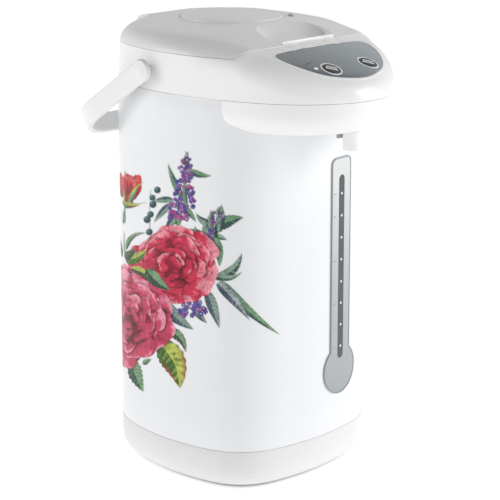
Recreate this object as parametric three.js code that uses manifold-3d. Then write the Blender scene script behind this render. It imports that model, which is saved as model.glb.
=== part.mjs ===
// Electric thermo pot with a manual air pump, 5 litre class.
// Millimetres, +Z up, front (the beak with the nozzle) towards -Y, origin on the pot's axis at the underside of the swivel plate.
import * as THREE from "three";
import { ParametricGeometry } from "three/addons/geometries/ParametricGeometry.js";
import { mergeVertices } from "three/addons/utils/BufferGeometryUtils.js";
import Module from "manifold-3d";

// ---------------------------------------------------------------- driving dimensions
const GAP = 0.3; // clearance between neighbouring pieces
const SEG = 52; // facets round the outer shells
const BODY_R = 98.7; // mean radius of the rounded-square body
const BODY_TAPER = 0.0095; // share by which the body narrows from the base seam to the head seam
const Z_BASE_TOP = 35.2; // seam between base ring and jacket
const Z_HEAD = 330.5; // seam between jacket and head
const Z_LID = 362.5; // seam between head and lid at the sides
const JACKET_T = 1.2;
const SHELL_T = 2.4; // plastic wall
const DECK_T = 3.0; // wall of the deck and lid
const BASE_INSET = 13.9; // how far the base ring draws in at the floor
const BASE_ROUND = 20; // height of the rounded lower edge
const Z_FLOOR_GAP = 2.2; // underside of the base ring above the floor

const SWIVEL_R = 74;
const SWIVEL_T = 4.2;
const HUB_R = 12;
const HUB_TOP = 9.5;

const POT_R = 82; // inside radius of the inner pot
const POT_T = 1.2;
const POT_Z0 = 50; // underside of the inner pot
const POT_Z1 = 321; // top of its rolled lip
const THROAT_R = 74; // opening above the inner pot
const Z_SEAT = 350.5; // top of the ledge the lid liner closes on

const DISC_Y = 11.5; // pump disc centre
const DISC_R = 42.8;
const DISC_EDGE_Z = 381.3;
const DISC_CROWN = 4.6;
const DISC_STROKE = 18;
const BELLOWS_Z0 = 340;
const BELLOWS_Z1 = 377.4;

const HINGE_Y = 96;
const HINGE_Z = 366;
const PIN_R = 1.9;
const BLOCK_W = 27; // half width of the lid's hinge block

const NOZZLE_Y = -125.5;
const NOZZLE_R = 8.2;
const NOZZLE_BOTTOM = 287.5;
const Z_BEAK_BOTTOM = 302.5;
const LEVER_Y = -113; // cup lever's pivot
const LEVER_Z = 309.4;

const GAUGE_X = 24.6;
const GAUGE_W = 13.2; // half width of the gauge strip
const GAUGE_TOP = 272.6;
const BULB_Z = 89.5;
const BULB_R = 21.5;
const TUBE_Y = -85.9;

const BUTTON_X = 21.5;
const BUTTON_Y = -121;
const BUTTON_Z = 354.2;
const BUTTON_R = 7.2;
const DECK_TILT = 21; // degrees, slope of the deck at the buttons

const PIVOT_Y = 13;
const PIVOT_Z = 346.5;
const HANDLE_L = 110; // pivot axis to the middle of the grip
const HANDLE_HALF = 101; // middle of the arms
const HANDLE_W = 17.5;
const HANDLE_T = 5.2;
const HANDLE_DROP = 33.5; // degrees below horizontal at rest

// ---------------------------------------------------------------- solids library
const wasm = await Module();
wasm.setup();

function solid(geometry) {
  const g = geometry.index ? geometry.toNonIndexed() : geometry.clone();
  const bare = new THREE.BufferGeometry().setAttribute("position", g.getAttribute("position"));
  const merged = mergeVertices(bare, 1e-4);
  const idx = merged.index.array;
  const tri = [];
  for (let i = 0; i < idx.length; i += 3) {
    const [a, b, c] = [idx[i], idx[i + 1], idx[i + 2]];
    if (a !== b && b !== c && c !== a) tri.push(a, b, c);
  }
  return new wasm.Manifold(
    new wasm.Mesh({ numProp: 3, vertProperties: new Float32Array(merged.attributes.position.array), triVerts: new Uint32Array(tri) }),
  );
}
function moved(geometry, { x = 0, y = 0, z = 0, rx = 0, ry = 0, rz = 0 } = {}) {
  const m = new THREE.Matrix4().compose(
    new THREE.Vector3(x, y, z),
    new THREE.Quaternion().setFromEuler(new THREE.Euler(rx, ry, rz)),
    new THREE.Vector3(1, 1, 1),
  );
  return geometry.clone().applyMatrix4(m);
}
function geometryOf(manifold) {
  const mesh = manifold.getMesh();
  const n = mesh.numProp;
  const pos = new Float32Array(mesh.numVert * 3);
  for (let i = 0; i < mesh.numVert; i++) for (let k = 0; k < 3; k++) pos[3 * i + k] = mesh.vertProperties[n * i + k];
  const g = new THREE.BufferGeometry();
  g.setAttribute("position", new THREE.BufferAttribute(pos, 3));
  g.setIndex(new THREE.BufferAttribute(new Uint32Array(mesh.triVerts), 1));
  g.computeVertexNormals();
  return g;
}
const rad = (d) => (d * Math.PI) / 180;

// upright cylinder or cone between two heights
function cyl(r, z0, z1, { x = 0, y = 0, seg = 32, r2 = r } = {}) {
  return solid(moved(new THREE.CylinderGeometry(r2, r, z1 - z0, seg), { x, y, z: (z0 + z1) / 2, rx: Math.PI / 2 }));
}
// cylinder along X
function cylX(r, x0, x1, y, z, seg = 24) {
  return solid(moved(new THREE.CylinderGeometry(r, r, x1 - x0, seg), { x: (x0 + x1) / 2, y, z, rz: -Math.PI / 2 }));
}
function box(x0, x1, y0, y1, z0, z1) {
  return solid(moved(new THREE.BoxGeometry(x1 - x0, y1 - y0, z1 - z0), { x: (x0 + x1) / 2, y: (y0 + y1) / 2, z: (z0 + z1) / 2 }));
}
// body of revolution about a vertical axis; profile points are [radius, height]
function lathe(points, { x = 0, y = 0, seg = 40 } = {}) {
  const g = new THREE.LatheGeometry(points.map(([r, z]) => new THREE.Vector2(r, z)), seg);
  let s = solid(moved(g, { x, y, rx: Math.PI / 2 }));
  if (s.volume() < 0) s = solid(moved(new THREE.LatheGeometry([...points].reverse().map(([r, z]) => new THREE.Vector2(r, z)), seg), { x, y, rx: Math.PI / 2 }));
  return s;
}
// upright prism of a plan outline
function prism(points, z0, z1) {
  const shape = new THREE.Shape(points.map(([x, y]) => new THREE.Vector2(x, y)));
  return solid(moved(new THREE.ExtrudeGeometry(shape, { depth: z1 - z0, bevelEnabled: false }), { z: z0 }));
}
// closed surface through rings; each ring is a function of the angle giving [x, y, z], and the ends close on the axis
function loft(rings, seg = SEG) {
  const table = rings.map((ring) => Array.from({ length: seg }, (_, i) => ring(-Math.PI / 2 + (2 * Math.PI * i) / seg)));
  const mid = (row) => [0, 0, row.reduce((s, p) => s + p[2], 0) / row.length];
  table.unshift(Array(seg).fill(mid(table[0])));
  table.push(Array(seg).fill(mid(table[table.length - 1])));
  const n = table.length - 1;
  const surface = (flip) =>
    new ParametricGeometry(
      (u, v, target) => {
        const i = Math.round(u * seg) % seg;
        const row = table[Math.round((flip ? 1 - v : v) * n)];
        target.set(row[i][0], row[i][1], row[i][2]);
      },
      seg,
      n,
    );
  const s = solid(surface(false));
  return s.volume() > 0 ? s : solid(surface(true));
}
// round or ring-shaped section swept along a smooth path
function sweep(points, r, { inner = 0, steps = 24, sides = 10, closed = false } = {}) {
  const section = new THREE.Shape();
  for (let i = 0; i < sides; i++) {
    const a = (2 * Math.PI * i) / sides;
    i ? section.lineTo(r * Math.cos(a), r * Math.sin(a)) : section.moveTo(r, 0);
  }
  if (inner) {
    const hole = new THREE.Path();
    for (let i = 0; i < sides; i++) {
      const a = (-2 * Math.PI * i) / sides;
      i ? hole.lineTo(inner * Math.cos(a), inner * Math.sin(a)) : hole.moveTo(inner, 0);
    }
    section.holes.push(hole);
  }
  const path = new THREE.CatmullRomCurve3(points.map((p) => new THREE.Vector3(...p)), closed, "centripetal");
  return solid(new THREE.ExtrudeGeometry(section, { steps, extrudePath: path, bevelEnabled: false }));
}

// monotone cubic through a table
function table(xs, ys) {
  const n = xs.length;
  const h = [], d = [], m = Array(n).fill(0);
  for (let i = 0; i < n - 1; i++) {
    h.push(xs[i + 1] - xs[i]);
    d.push((ys[i + 1] - ys[i]) / h[i]);
  }
  for (let i = 1; i < n - 1; i++)
    if (d[i - 1] * d[i] > 0) {
      const w1 = 2 * h[i] + h[i - 1], w2 = h[i] + 2 * h[i - 1];
      m[i] = (w1 + w2) / (w1 / d[i - 1] + w2 / d[i]);
    }
  m[0] = d[0];
  m[n - 1] = d[n - 2];
  return (x) => {
    if (x <= xs[0]) return ys[0];
    if (x >= xs[n - 1]) return ys[n - 1];
    let i = 0;
    while (x > xs[i + 1]) i++;
    const t = (x - xs[i]) / h[i];
    return (
      ys[i] * (1 + 2 * t) * (1 - t) ** 2 + h[i] * m[i] * t * (1 - t) ** 2 + ys[i + 1] * t * t * (3 - 2 * t) + h[i] * m[i + 1] * t * t * (t - 1)
    );
  };
}
function linear(xs, ys) {
  return (x) => {
    if (x <= xs[0]) return ys[0];
    for (let i = 1; i < xs.length; i++) if (x <= xs[i]) return ys[i - 1] + ((x - xs[i - 1]) / (xs[i] - xs[i - 1])) * (ys[i] - ys[i - 1]);
    return ys[ys.length - 1];
  };
}

// ---------------------------------------------------------------- outlines and the head's surface
// radius of the rounded-square body at an angle from +X
function bodyR(phi, z = Z_HEAD) {
  const k = 1 - (BODY_TAPER * (z - Z_BASE_TOP)) / (Z_HEAD - Z_BASE_TOP);
  return BODY_R * (1 + 0.0084 * Math.cos(2 * phi) - 0.0516 * Math.cos(4 * phi) + 0.0076 * Math.cos(8 * phi)) * k;
}
// degrees away from straight ahead
const fromFront = (phi) => {
  let t = (((phi + Math.PI / 2 + Math.PI) % (2 * Math.PI)) + 2 * Math.PI) % (2 * Math.PI) - Math.PI;
  return Math.abs((t * 180) / Math.PI);
};
// the head's outline: the body's rounded square with the beak drawn out at the front
const beakR = table([-11.5, -5, 0, 5, 11.5, 18.3, 26.3, 33.6, 41.2, 49.9, 58, 66.5, 78, 90, 102], [143.8, 147, 147.5, 147, 143.8, 138.6, 131.6, 124.0, 116.2, 108.0, 102.4, 98.6, 95.3, 94.1, 94.6]);
const headR = (phi) => {
  const t = fromFront(phi);
  return t <= 88 ? beakR(t) : bodyR(phi) - 0.1;
};
const draft = (phi) => linear([0, 45, 80, 110, 180], [0, 0, 1.2, 2.0, 2.0])(fromFront(phi));
const roundA = (phi) => linear([0, 20, 35, 50, 65, 80, 100, 120, 180], [15, 15, 19, 23, 24, 22, 18, 15, 14])(fromFront(phi));
const roundB = (phi) => linear([0, 20, 35, 50, 65, 80, 100, 120, 180], [17, 17, 17.5, 16, 15, 14, 13, 12, 12])(fromFront(phi));
const ridge = table(
  [-155, -145, -136, -128, -120, -110, -100, -90, -84, -79, -75, -70, -60, -50, -40, -30, -15, 0, 14, 30, 50, 70, 90, 100],
  [338, 343.5, 348.5, 352.0, 355.0, 358.6, 361.8, 364.6, 366.2, 368.1, 370.8, 373.0, 376.0, 378.4, 380.2, 381.4, 382.0, 382.3, 382.4, 382.2, 381.6, 380.2, 378.2, 377.0],
);
const crossFall = linear([-150, -90, -76, -60, -45, -20, 100], [0.0008, 0.0004, 0.0005, 0.001, 0.0012, 0.0011, 0.0011]);
const domeZ = (x, y) => ridge(y) - crossFall(y) * x * x;

// rings of the head's outer surface, moved in by e
function headRings(e, zBottom) {
  const at = (r, phi, z) => [r * Math.cos(phi), r * Math.sin(phi), z];
  const rings = [(phi) => at(headR(phi) - e, phi, zBottom)];
  if (zBottom < Z_HEAD - 1) rings.push((phi) => at(headR(phi) - e, phi, Z_HEAD));
  for (const psi of [0, 24, 48, 70, 90].map(rad))
    rings.push((phi) => {
      const edge = headR(phi) - draft(phi) - e;
      const crest = domeZ(edge * Math.cos(phi), edge * Math.sin(phi)) - e;
      const a = roundA(phi) - e, b = Math.min(roundB(phi) - e, crest - Z_HEAD - 0.6); // the rounding starts above the seam
      const r = edge - a * (1 - Math.cos(psi));
      return at(r, phi, domeZ(r * Math.cos(phi), r * Math.sin(phi)) - e - b * (1 - Math.sin(psi)));
    });
  for (const t of [0.8, 0.55])
    rings.push((phi) => {
      const r = (headR(phi) - draft(phi) - roundA(phi)) * t;
      return at(r, phi, domeZ(r * Math.cos(phi), r * Math.sin(phi)) - e);
    });
  return rings;
}
const headSolid = (e, zBottom) => loft(headRings(e, zBottom));
const bodyPrism = (e, z0, z1, seg = SEG) =>
  loft([z0, z1].map((z) => (phi) => [(bodyR(phi, z) - e) * Math.cos(phi), (bodyR(phi, z) - e) * Math.sin(phi), z]), seg);
const outlinePrism = (rOf, z0, z1, seg = SEG) => loft([z0, z1].map((z) => (phi) => [rOf(phi) * Math.cos(phi), rOf(phi) * Math.sin(phi), z]), seg);

// plan curve where the lid's front edge meets the deck
const LID_EDGE = [[0, -79], [30, -78.5], [48, -77.3], [61, -76.2], [70, -74.6], [75.5, -72.2], [79.5, -68.6], [82.5, -64], [84.5, -58]];
function lidRegion(forward, zLow) {
  const half = LID_EDGE.map(([x, y]) => [x, y - forward]);
  const pts = [...half.slice(1).reverse().map(([x, y]) => [-x, y]), ...half];
  const wide = 130;
  return prism([[-wide, half[half.length - 1][1]], ...pts, [wide, half[half.length - 1][1]], [wide, 130], [-wide, 130]], zLow, 420);
}
const PANEL = [[0, -137.2], [15, -135], [30, -128.6], [41, -118.8], [49, -106.5], [52.5, -96], [52, -90.5], [48, -86.6], [42, -85.4], [0, -85.4]];
function panelPrism(grow, z0, z1) {
  const c = [0, -109];
  const half = PANEL.map(([x, y]) => {
    const dx = x - c[0], dy = y - c[1], l = Math.hypot(dx, dy);
    return [x === 0 ? 0 : x + (grow * dx) / l, y + (grow * dy) / l];
  });
  return prism([...half, ...half.slice(1, -1).reverse().map(([x, y]) => [-x, y])], z0, z1);
}

// ---------------------------------------------------------------- materials
const mat = (color, roughness, metalness = 0, extra = {}) => new THREE.MeshStandardMaterial({ color, roughness, metalness, ...extra });
const part = new THREE.Group();
part.name = "thermo_pot";
function add(name, manifold, material) {
  const mesh = new THREE.Mesh(geometryOf(manifold), material);
  mesh.name = name;
  part.add(mesh);
}
const WHITE = () => mat(0xf4f4f2, 0.28);
const PAINT = () => mat(0xf1f3f6, 0.22, 0.1);
const STEEL = () => mat(0xc4c6c8, 0.3, 1);
const GREY = () => mat(0x8b9499, 0.35);
const DARK = () => mat(0x33383c, 0.45);
const RUBBER = () => mat(0x2b2b2b, 0.9);
const SILICONE = () => mat(0xe6e3dc, 0.7);
const BRASS = () => mat(0xb59a55, 0.35, 1);

// ---------------------------------------------------------------- swivel base
{
  const feet = [[50, 50], [-50, 50], [-50, -50], [50, -50]];
  let plate = lathe([[0, 0], [SWIVEL_R - 2, 0], [SWIVEL_R, 1.2], [SWIVEL_R, 2.6], [SWIVEL_R - 2, SWIVEL_T - 2], [HUB_R + 6, SWIVEL_T - 2], [HUB_R + 6, 3], [HUB_R, 3], [HUB_R, HUB_TOP], [0, HUB_TOP]], { seg: 36 });
  for (const [x, y] of feet) plate = plate.subtract(cyl(7.2, -1, 1.2, { x, y, seg: 20 }));
  add("swivel_plate", plate, WHITE());
  feet.forEach(([x, y], i) => add(`rubber_foot_${i + 1}`, cyl(6.8, 0, 0.9, { x, y, seg: 20 }), RUBBER()));
}

// ---------------------------------------------------------------- base
const SCREWS = [[57, 57], [-57, 57], [-57, -57], [57, -57]];
{
  const baseRings = (e, zLow, zTop) => {
    const rings = [];
    for (const psi of [90, 62, 38, 16, 0].map(rad)) {
      rings.push((phi) => {
        const a = BASE_INSET, b = BASE_ROUND - Z_FLOOR_GAP;
        const z = BASE_ROUND - b * Math.sin(psi);
        const r = bodyR(phi, Z_BASE_TOP) + 0.25 - a * (1 - Math.cos(psi)) - e;
        return [r * Math.cos(phi), r * Math.sin(phi), Math.max(z, zLow)];
      });
    }
    rings.push((phi) => {
      const r = bodyR(phi, Z_BASE_TOP) + 0.25 - e;
      return [r * Math.cos(phi), r * Math.sin(phi), zTop];
    });
    return rings;
  };
  let ring = loft(baseRings(0, 0, Z_BASE_TOP));
  // hollow inside, with a ledge for the bottom cover
  ring = ring.subtract(loft(baseRings(SHELL_T, 0, 60).map((f, i) => (phi) => { const p = f(phi); return [p[0], p[1], i === 5 ? 60 : Math.max(p[2] + 1.2, 4.6)]; })));
  ring = ring.subtract(outlinePrism((phi) => bodyR(phi, Z_BASE_TOP) - 17.2, 0, 10));
  // screw posts standing on the lower ledge
  for (const [x, y] of SCREWS) ring = ring.add(cyl(5, 8.2, 24.2, { x, y, seg: 16 }).add(box(Math.min(x, x * 1.5), Math.max(x, x * 1.5), y - 1.2, y + 1.2, 8.2, 22)).intersect(loft(baseRings(0.6, 0, Z_BASE_TOP))));
  for (const [x, y] of SCREWS) ring = ring.subtract(cyl(1.6, 0, 20, { x, y, seg: 12 }));
  // opening for the power inlet at the back
  ring = ring.subtract(box(-16.3, 16.3, 70, 110, 10.7, 29.3));
  add("base_ring", ring, WHITE());

  let cover = outlinePrism((phi) => bodyR(phi, Z_BASE_TOP) - 17.5, 5.2, 7.8);
  cover = cover.subtract(cyl(HUB_R + 0.14, 0, 20, { seg: 36 }));
  for (const [x, y] of SCREWS) cover = cover.subtract(cyl(1.9, 0, 20, { x, y, seg: 12 }));
  for (let i = -2; i <= 2; i++) cover = cover.subtract(box(-28 + i * 7 - 1.6, -28 + i * 7 + 1.6, 28, 52, 0, 20));
  add("bottom_cover", cover, GREY());
  SCREWS.forEach(([x, y], i) => add(`bottom_screw_${i + 1}`, lathe([[0, 3.0], [3.1, 3.0], [3.1, 4.9], [1.3, 4.9], [1.3, 17], [0, 18.2]], { x, y, seg: 14 }), STEEL()));
}

// power inlet with its two pins
{
  let inlet = box(-16, 16, 74, 91, 11, 29).add(box(-13, 13, 66, 76, 13, 27));
  inlet = inlet.subtract(box(-12, 12, 78, 100, 14, 26));
  const px = 6;
  for (const s of [-1, 1]) inlet = inlet.subtract(solid(moved(new THREE.CylinderGeometry(1.8, 1.8, 30, 14), { x: s * px, y: 70, z: 20 })));
  add("power_inlet", inlet, DARK());
  for (const s of [-1, 1])
    add(s < 0 ? "inlet_pin_left" : "inlet_pin_right", solid(moved(new THREE.CylinderGeometry(1.5, 1.5, 26, 14), { x: s * px, y: 73, z: 20 })), BRASS());
}

// ---------------------------------------------------------------- jacket, inner pot and heaters
{
  let jacket = bodyPrism(0, Z_BASE_TOP + GAP, Z_HEAD - GAP).subtract(bodyPrism(JACKET_T, 0, 400));
  jacket = jacket.subtract(box(GAUGE_X - 4, GAUGE_X + 4, -110, -60, 104, 254));
  jacket = jacket.subtract(box(GAUGE_X - 7, GAUGE_X + 5, -110, -80, 322, 340)); // notch for the outlet pipe
  add("outer_jacket", jacket, PAINT());

  const R = POT_R, T = POT_T;
  let pot = lathe(
    [[0, POT_Z0 + T], [R - 8, POT_Z0 + T], [R - 2.4, POT_Z0 + T + 2.4], [R, POT_Z0 + T + 8], [R, POT_Z1], [R + 3.4, POT_Z1], [R + 3.4, POT_Z1 - 4], [R + 2.2, POT_Z1 - 4], [R + 2.2, POT_Z1 - T], [R + T, POT_Z1 - T], [R + T, POT_Z0 + 8], [R - 1.6, POT_Z0 + 2], [R - 7, POT_Z0], [0, POT_Z0]],
    { seg: 36 },
  );
  pot = pot.subtract(cyl(4.2, 40, 60, { x: 40, y: -45, seg: 16 }));
  add("inner_pot", pot, STEEL());

  let plate = lathe([[0, 43], [58, 43], [60, 44], [60, 48.5], [58, 49.6], [0, 49.6]], { seg: 40 });
  plate = plate.subtract(cyl(8.2, 30, 60, { x: 40, y: -45, seg: 20 })).subtract(cyl(9, 40, 44.4, { seg: 20 }));
  add("heater_plate", plate, mat(0x9a9690, 0.5, 0.9));
  add("thermostat", lathe([[0, 32], [8.6, 32], [8.6, 40.6], [6, 40.6], [6, 43.9], [0, 43.9]], { seg: 24 }), DARK());
  add("thermal_cutout", lathe([[0, 34], [6.6, 34], [6.6, 42.6], [0, 42.6]], { x: -32, y: 8, seg: 20 }), mat(0xd8d2c4, 0.5));
  add("band_heater", lathe([[POT_R + POT_T + 0.35, 66], [POT_R + POT_T + 2.6, 66], [POT_R + POT_T + 2.6, 96], [POT_R + POT_T + 0.35, 96], [POT_R + POT_T + 0.35, 66]], { seg: 36 }), mat(0xb8aa86, 0.6, 0.3));
}

// ---------------------------------------------------------------- electric pump under the inner pot
const PX = 40, PY = -45;
{
  let housing = lathe([[0, 36], [4, 36], [4, 40], [6.5, 40], [6.5, 36], [18, 36], [18, 25], [15.8, 25], [15.8, 33.6], [0, 33.6]], { x: PX, y: PY, seg: 20 });
  housing = housing.subtract(cyl(4, 30, 45, { x: PX, y: PY, seg: 16 }));
  housing = housing.add(solid(moved(new THREE.CylinderGeometry(5, 5, 12, 16), { x: PX, y: PY - 20, z: 30 })).subtract(cyl(16.6, 20, 40, { x: PX, y: PY, seg: 28 })));
  housing = housing.subtract(solid(moved(new THREE.CylinderGeometry(3.0, 3.0, 20, 14), { x: PX, y: PY - 20, z: 30 })));
  add("pump_housing", housing, mat(0xe2e0d8, 0.5));
  let motor = lathe([[2.0, 24.6], [15.4, 24.6], [15.4, 22.4], [13, 22.4], [13, 9.2], [2.0, 9.2], [2.0, 24.6]], { x: PX, y: PY, seg: 24 });
  add("pump_motor", motor, STEEL());
  let imp = lathe([[0, 11], [1.9, 11], [1.9, 25.6], [5, 25.6], [5, 27], [14, 27], [14, 28.2], [5, 28.2], [4, 31.6], [0, 31.6]], { x: PX, y: PY, seg: 20 });
  for (let i = 0; i < 6; i++) {
    const a = (i * Math.PI) / 3;
    imp = imp.add(solid(moved(new THREE.BoxGeometry(9.4, 1.2, 3.6), { x: PX + 9 * Math.cos(a), y: PY + 9 * Math.sin(a), z: 29.6, rz: a })));
  }
  add("pump_impeller", imp, mat(0xdcd8cc, 0.5));
  add("pump_inlet_tube", lathe([[4.6, 40.6], [7.4, 40.6], [7.4, 49.4], [4.6, 49.4], [4.6, 40.6]], { x: PX, y: PY, seg: 20 }), SILICONE());
  add("pump_outlet_hose", sweep([[PX, -71.6, 30], [PX, -75, 30], [PX - 2.5, -80.5, 30.2], [PX - 8.5, -84, 31], [GAUGE_X + 1.6, TUBE_Y, 34], [GAUGE_X, TUBE_Y, 38], [GAUGE_X, TUBE_Y, 41.7]], 3.6, { inner: 2.2, steps: 10, sides: 8 }), SILICONE());
  add("power_board", box(-66, -26, -46, -14, 14, 15.6).add(box(-62, -48, -42, -30, 15.6, 27)).add(box(-42, -32, -40, -20, 15.6, 24)), mat(0x2f6b46, 0.6));
}

// ---------------------------------------------------------------- level gauge
{
  add("sight_tube", lathe([[1.9, 42.2], [2.8, 42.2], [2.8, 299], [1.9, 299], [1.9, 42.2]], { x: GAUGE_X, y: TUBE_Y, seg: 16 }), mat(0xdfeef2, 0.05, 0, { transparent: true, opacity: 0.35 }));
  // thermometer-shaped strip that follows the jacket's face
  const outline = [];
  const w = GAUGE_W, bz = BULB_Z, br = BULB_R;
  const a0 = Math.acos(w / br);
  for (let i = 0; i <= 18; i++) {
    const a = a0 - (i / 18) * (Math.PI + 2 * a0);
    outline.push([br * Math.cos(a), bz + br * Math.sin(a)]);
  }
  for (const [x, z] of [[-w, GAUGE_TOP - 6], [-w + 1.4, GAUGE_TOP - 2.4], [-w + 5, GAUGE_TOP], [w - 5, GAUGE_TOP], [w - 1.4, GAUGE_TOP - 2.4], [w, GAUGE_TOP - 6]]) outline.push([x, z]);
  // strip outline extruded along Y
  const toward = (pts, y0, y1) => {
    const shape = new THREE.Shape(pts.map(([x, z]) => new THREE.Vector2(x, z)));
    return solid(moved(new THREE.ExtrudeGeometry(shape, { depth: y1 - y0, bevelEnabled: false }), { x: GAUGE_X, y: y1, rx: Math.PI / 2 }));
  };
  let strip = toward(outline, -130, -60).intersect(bodyPrism(-1.5, 40, 320)).subtract(bodyPrism(-0.3, 0, 400));
  const slot = [];
  for (let i = 0; i <= 8; i++) slot.push([3.9 * Math.cos(-(i / 8) * Math.PI), 103 + 3.9 * Math.sin(-(i / 8) * Math.PI)]);
  for (let i = 0; i <= 8; i++) slot.push([3.9 * Math.cos(Math.PI - (i / 8) * Math.PI), 254 + 3.9 * Math.sin(Math.PI - (i / 8) * Math.PI)]);
  strip = strip.subtract(toward(slot, -130, -60));
  add("gauge_plate", strip, mat(0xc4c9cc, 0.35));
  const lens = toward(slot.map(([x, z]) => [x * (3.6 / 3.9), z < 150 ? 103 + (z - 103) * (3.6 / 3.9) : 254 + (z - 254) * (3.6 / 3.9)]), -130, -60).intersect(bodyPrism(-1.2, 40, 320)).subtract(bodyPrism(-0.3, 0, 400));
  add("gauge_window", lens, mat(0x4c5357, 0.15, 0, { transparent: true, opacity: 0.6 }));
}

// ---------------------------------------------------------------- head: collar with the deck
{
  const outer = headSolid(0, Z_HEAD);
  let collar = outer.subtract(headSolid(SHELL_T + 0.2, 300));
  // seat ledge, throat and the wall behind the deck
  collar = collar.add(headSolid(0.5, Z_HEAD).intersect(prism([[-130, -82], [130, -82], [130, 130], [-130, 130]], Z_SEAT - 2.4, Z_SEAT)));
  collar = collar.add(lathe([[THROAT_R, 321.8], [POT_R + 3.4, 321.8], [POT_R + 3.4, 323.8], [THROAT_R + 2.2, 323.8], [THROAT_R + 2.2, Z_SEAT - 0.4], [THROAT_R, Z_SEAT - 0.4], [THROAT_R, 321.8]], { seg: 48 }));
  const wall = lidRegion(3.2, Z_SEAT - 2.4).subtract(lidRegion(0.15, 300)).intersect(headSolid(0.5, Z_HEAD)).intersect(prism([[-84, -90], [84, -90], [84, -60], [-84, -60]], 300, 400));
  collar = collar.add(wall);
  collar = collar.subtract(lidRegion(0.15, Z_LID - GAP));
  collar = collar.subtract(cyl(THROAT_R, 300, 420, { seg: 48 }).intersect(prism([[-130, -78.8], [130, -78.8], [130, 130], [-130, 130]], 300, Z_SEAT + 0.2)));
  // seat for the control panel
  collar = collar.subtract(panelPrism(GAP, 330, 400).subtract(headSolid(1.6, 300)));
  for (const s of [-1, 1]) collar = collar.subtract(solid(moved(new THREE.CylinderGeometry(BUTTON_R + 0.5, BUTTON_R + 0.5, 20, 24), { x: s * BUTTON_X, y: BUTTON_Y, z: BUTTON_Z, rx: Math.PI / 2 + rad(DECK_TILT) })));
  collar = collar.subtract(cyl(2.3, 340, 370, { x: -34, y: -116, seg: 14 }));
  // notch and ears for the lid hinge
  collar = collar.subtract(box(-BLOCK_W - 0.4, BLOCK_W + 0.4, 86, 110, 358.4, 400));
  for (const s of [-1, 1]) {
    const x0 = s > 0 ? BLOCK_W + 0.4 : -BLOCK_W - 5.4;
    let ear = box(x0, x0 + 5, 88, HINGE_Y, 346, HINGE_Z).add(cylX(5.4, x0, x0 + 5, HINGE_Y, HINGE_Z, 20)).add(box(x0, x0 + 5, 90, HINGE_Y + 5.4, 352, HINGE_Z));
    ear = ear.subtract(solid(moved(new THREE.BoxGeometry(30, 14, 26), { x: x0, y: HINGE_Y + 4.8, z: 346, rx: rad(-28) })));
    ear = ear.subtract(box(-200, 200, 80, 92, Z_LID - GAP, 400));
    collar = collar.add(ear);
  }
  collar = collar.subtract(cylX(PIN_R + 0.05, -40, 40, HINGE_Y, HINGE_Z, 20));
  for (const s of [-1, 1]) collar = collar.subtract(cylX(6.1, s > 0 ? 86.2 : -88.8, s > 0 ? 88.8 : -86.2, PIVOT_Y, PIVOT_Z, 20)); // room for the pins' inner flanges
  // bores for the handle pins
  for (const s of [-1, 1]) collar = collar.subtract(cylX(3.3, s > 0 ? 88 : -100, s > 0 ? 100 : -88, PIVOT_Y, PIVOT_Z, 20));
  add("head_collar", collar, WHITE());

  add("hinge_pin", cylX(PIN_R, -BLOCK_W - 5.2, BLOCK_W + 5.2, HINGE_Y, HINGE_Z, 20), STEEL());

  // lower half of the beak
  const lowRings = (e, zTop) => {
    const b = 20 - e, a = 22 - e;
    const rings = [];
    for (const psi of [90, 68, 46, 24, 0].map(rad))
      rings.push((phi) => {
        const r = headR(phi) - e - a * (1 - Math.cos(psi));
        return [r * Math.cos(phi), r * Math.sin(phi), Z_BEAK_BOTTOM + 20 - b * Math.sin(psi)];
      });
    rings.push((phi) => [(headR(phi) - e) * Math.cos(phi), (headR(phi) - e) * Math.sin(phi), zTop]);
    return rings;
  };
  let beak = loft(lowRings(0, Z_HEAD - GAP)).subtract(loft(lowRings(SHELL_T, 360)));
  beak = beak.subtract(bodyPrism(-0.4, 280, 340)).intersect(prism([[-130, -160], [130, -160], [130, -62.5], [-130, -62.5]], 290, 340));
  beak = beak.decompose().sort((p, q) => q.volume() - p.volume())[0];
  // locating rib inside the seam, nozzle hole and lever slot
  beak = beak.subtract(cyl(NOZZLE_R + 0.3, 290, 320, { y: NOZZLE_Y, seg: 28 }));
  beak = beak.subtract(box(-8.4, 8.4, -117.6, -103.2, 290, 320));
  for (const q of [-1, 1]) // lugs for the lever's stub pins
    beak = beak.add(box(Math.min(q * 9.2, q * 12.2), Math.max(q * 9.2, q * 12.2), LEVER_Y - 2.8, LEVER_Y + 2.4, 304, LEVER_Z + 2.8)).subtract(cylX(1.7, q > 0 ? 8 : -13, q > 0 ? 13 : -8, LEVER_Y, LEVER_Z, 14));
  add("beak_lower", beak, WHITE());

  // nozzle with its stepped collar inside the beak
  add("nozzle", lathe([[4.6, NOZZLE_BOTTOM], [NOZZLE_R - 0.8, NOZZLE_BOTTOM], [NOZZLE_R, NOZZLE_BOTTOM + 0.8], [NOZZLE_R, 307.4], [NOZZLE_R + 0.9, 307.4], [NOZZLE_R + 0.9, 309.4], [6.2, 309.4], [6.2, 317], [3.6, 317], [3.6, 300], [4.6, 296], [4.6, NOZZLE_BOTTOM]], { y: NOZZLE_Y, seg: 28 }), WHITE());
  add("outlet_pipe", sweep([[GAUGE_X, TUBE_Y, 299.6], [GAUGE_X, TUBE_Y, 315], [GAUGE_X, TUBE_Y, 328], [GAUGE_X - 0.8, -89.2, 334], [GAUGE_X - 5.6, -96, 336], [10, -108.5, 334.6], [2, -119, 331], [0, NOZZLE_Y, 324.6], [0, NOZZLE_Y, 317.4]], 3.2, { inner: 2.2, steps: 18, sides: 8 }), SILICONE());

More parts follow.
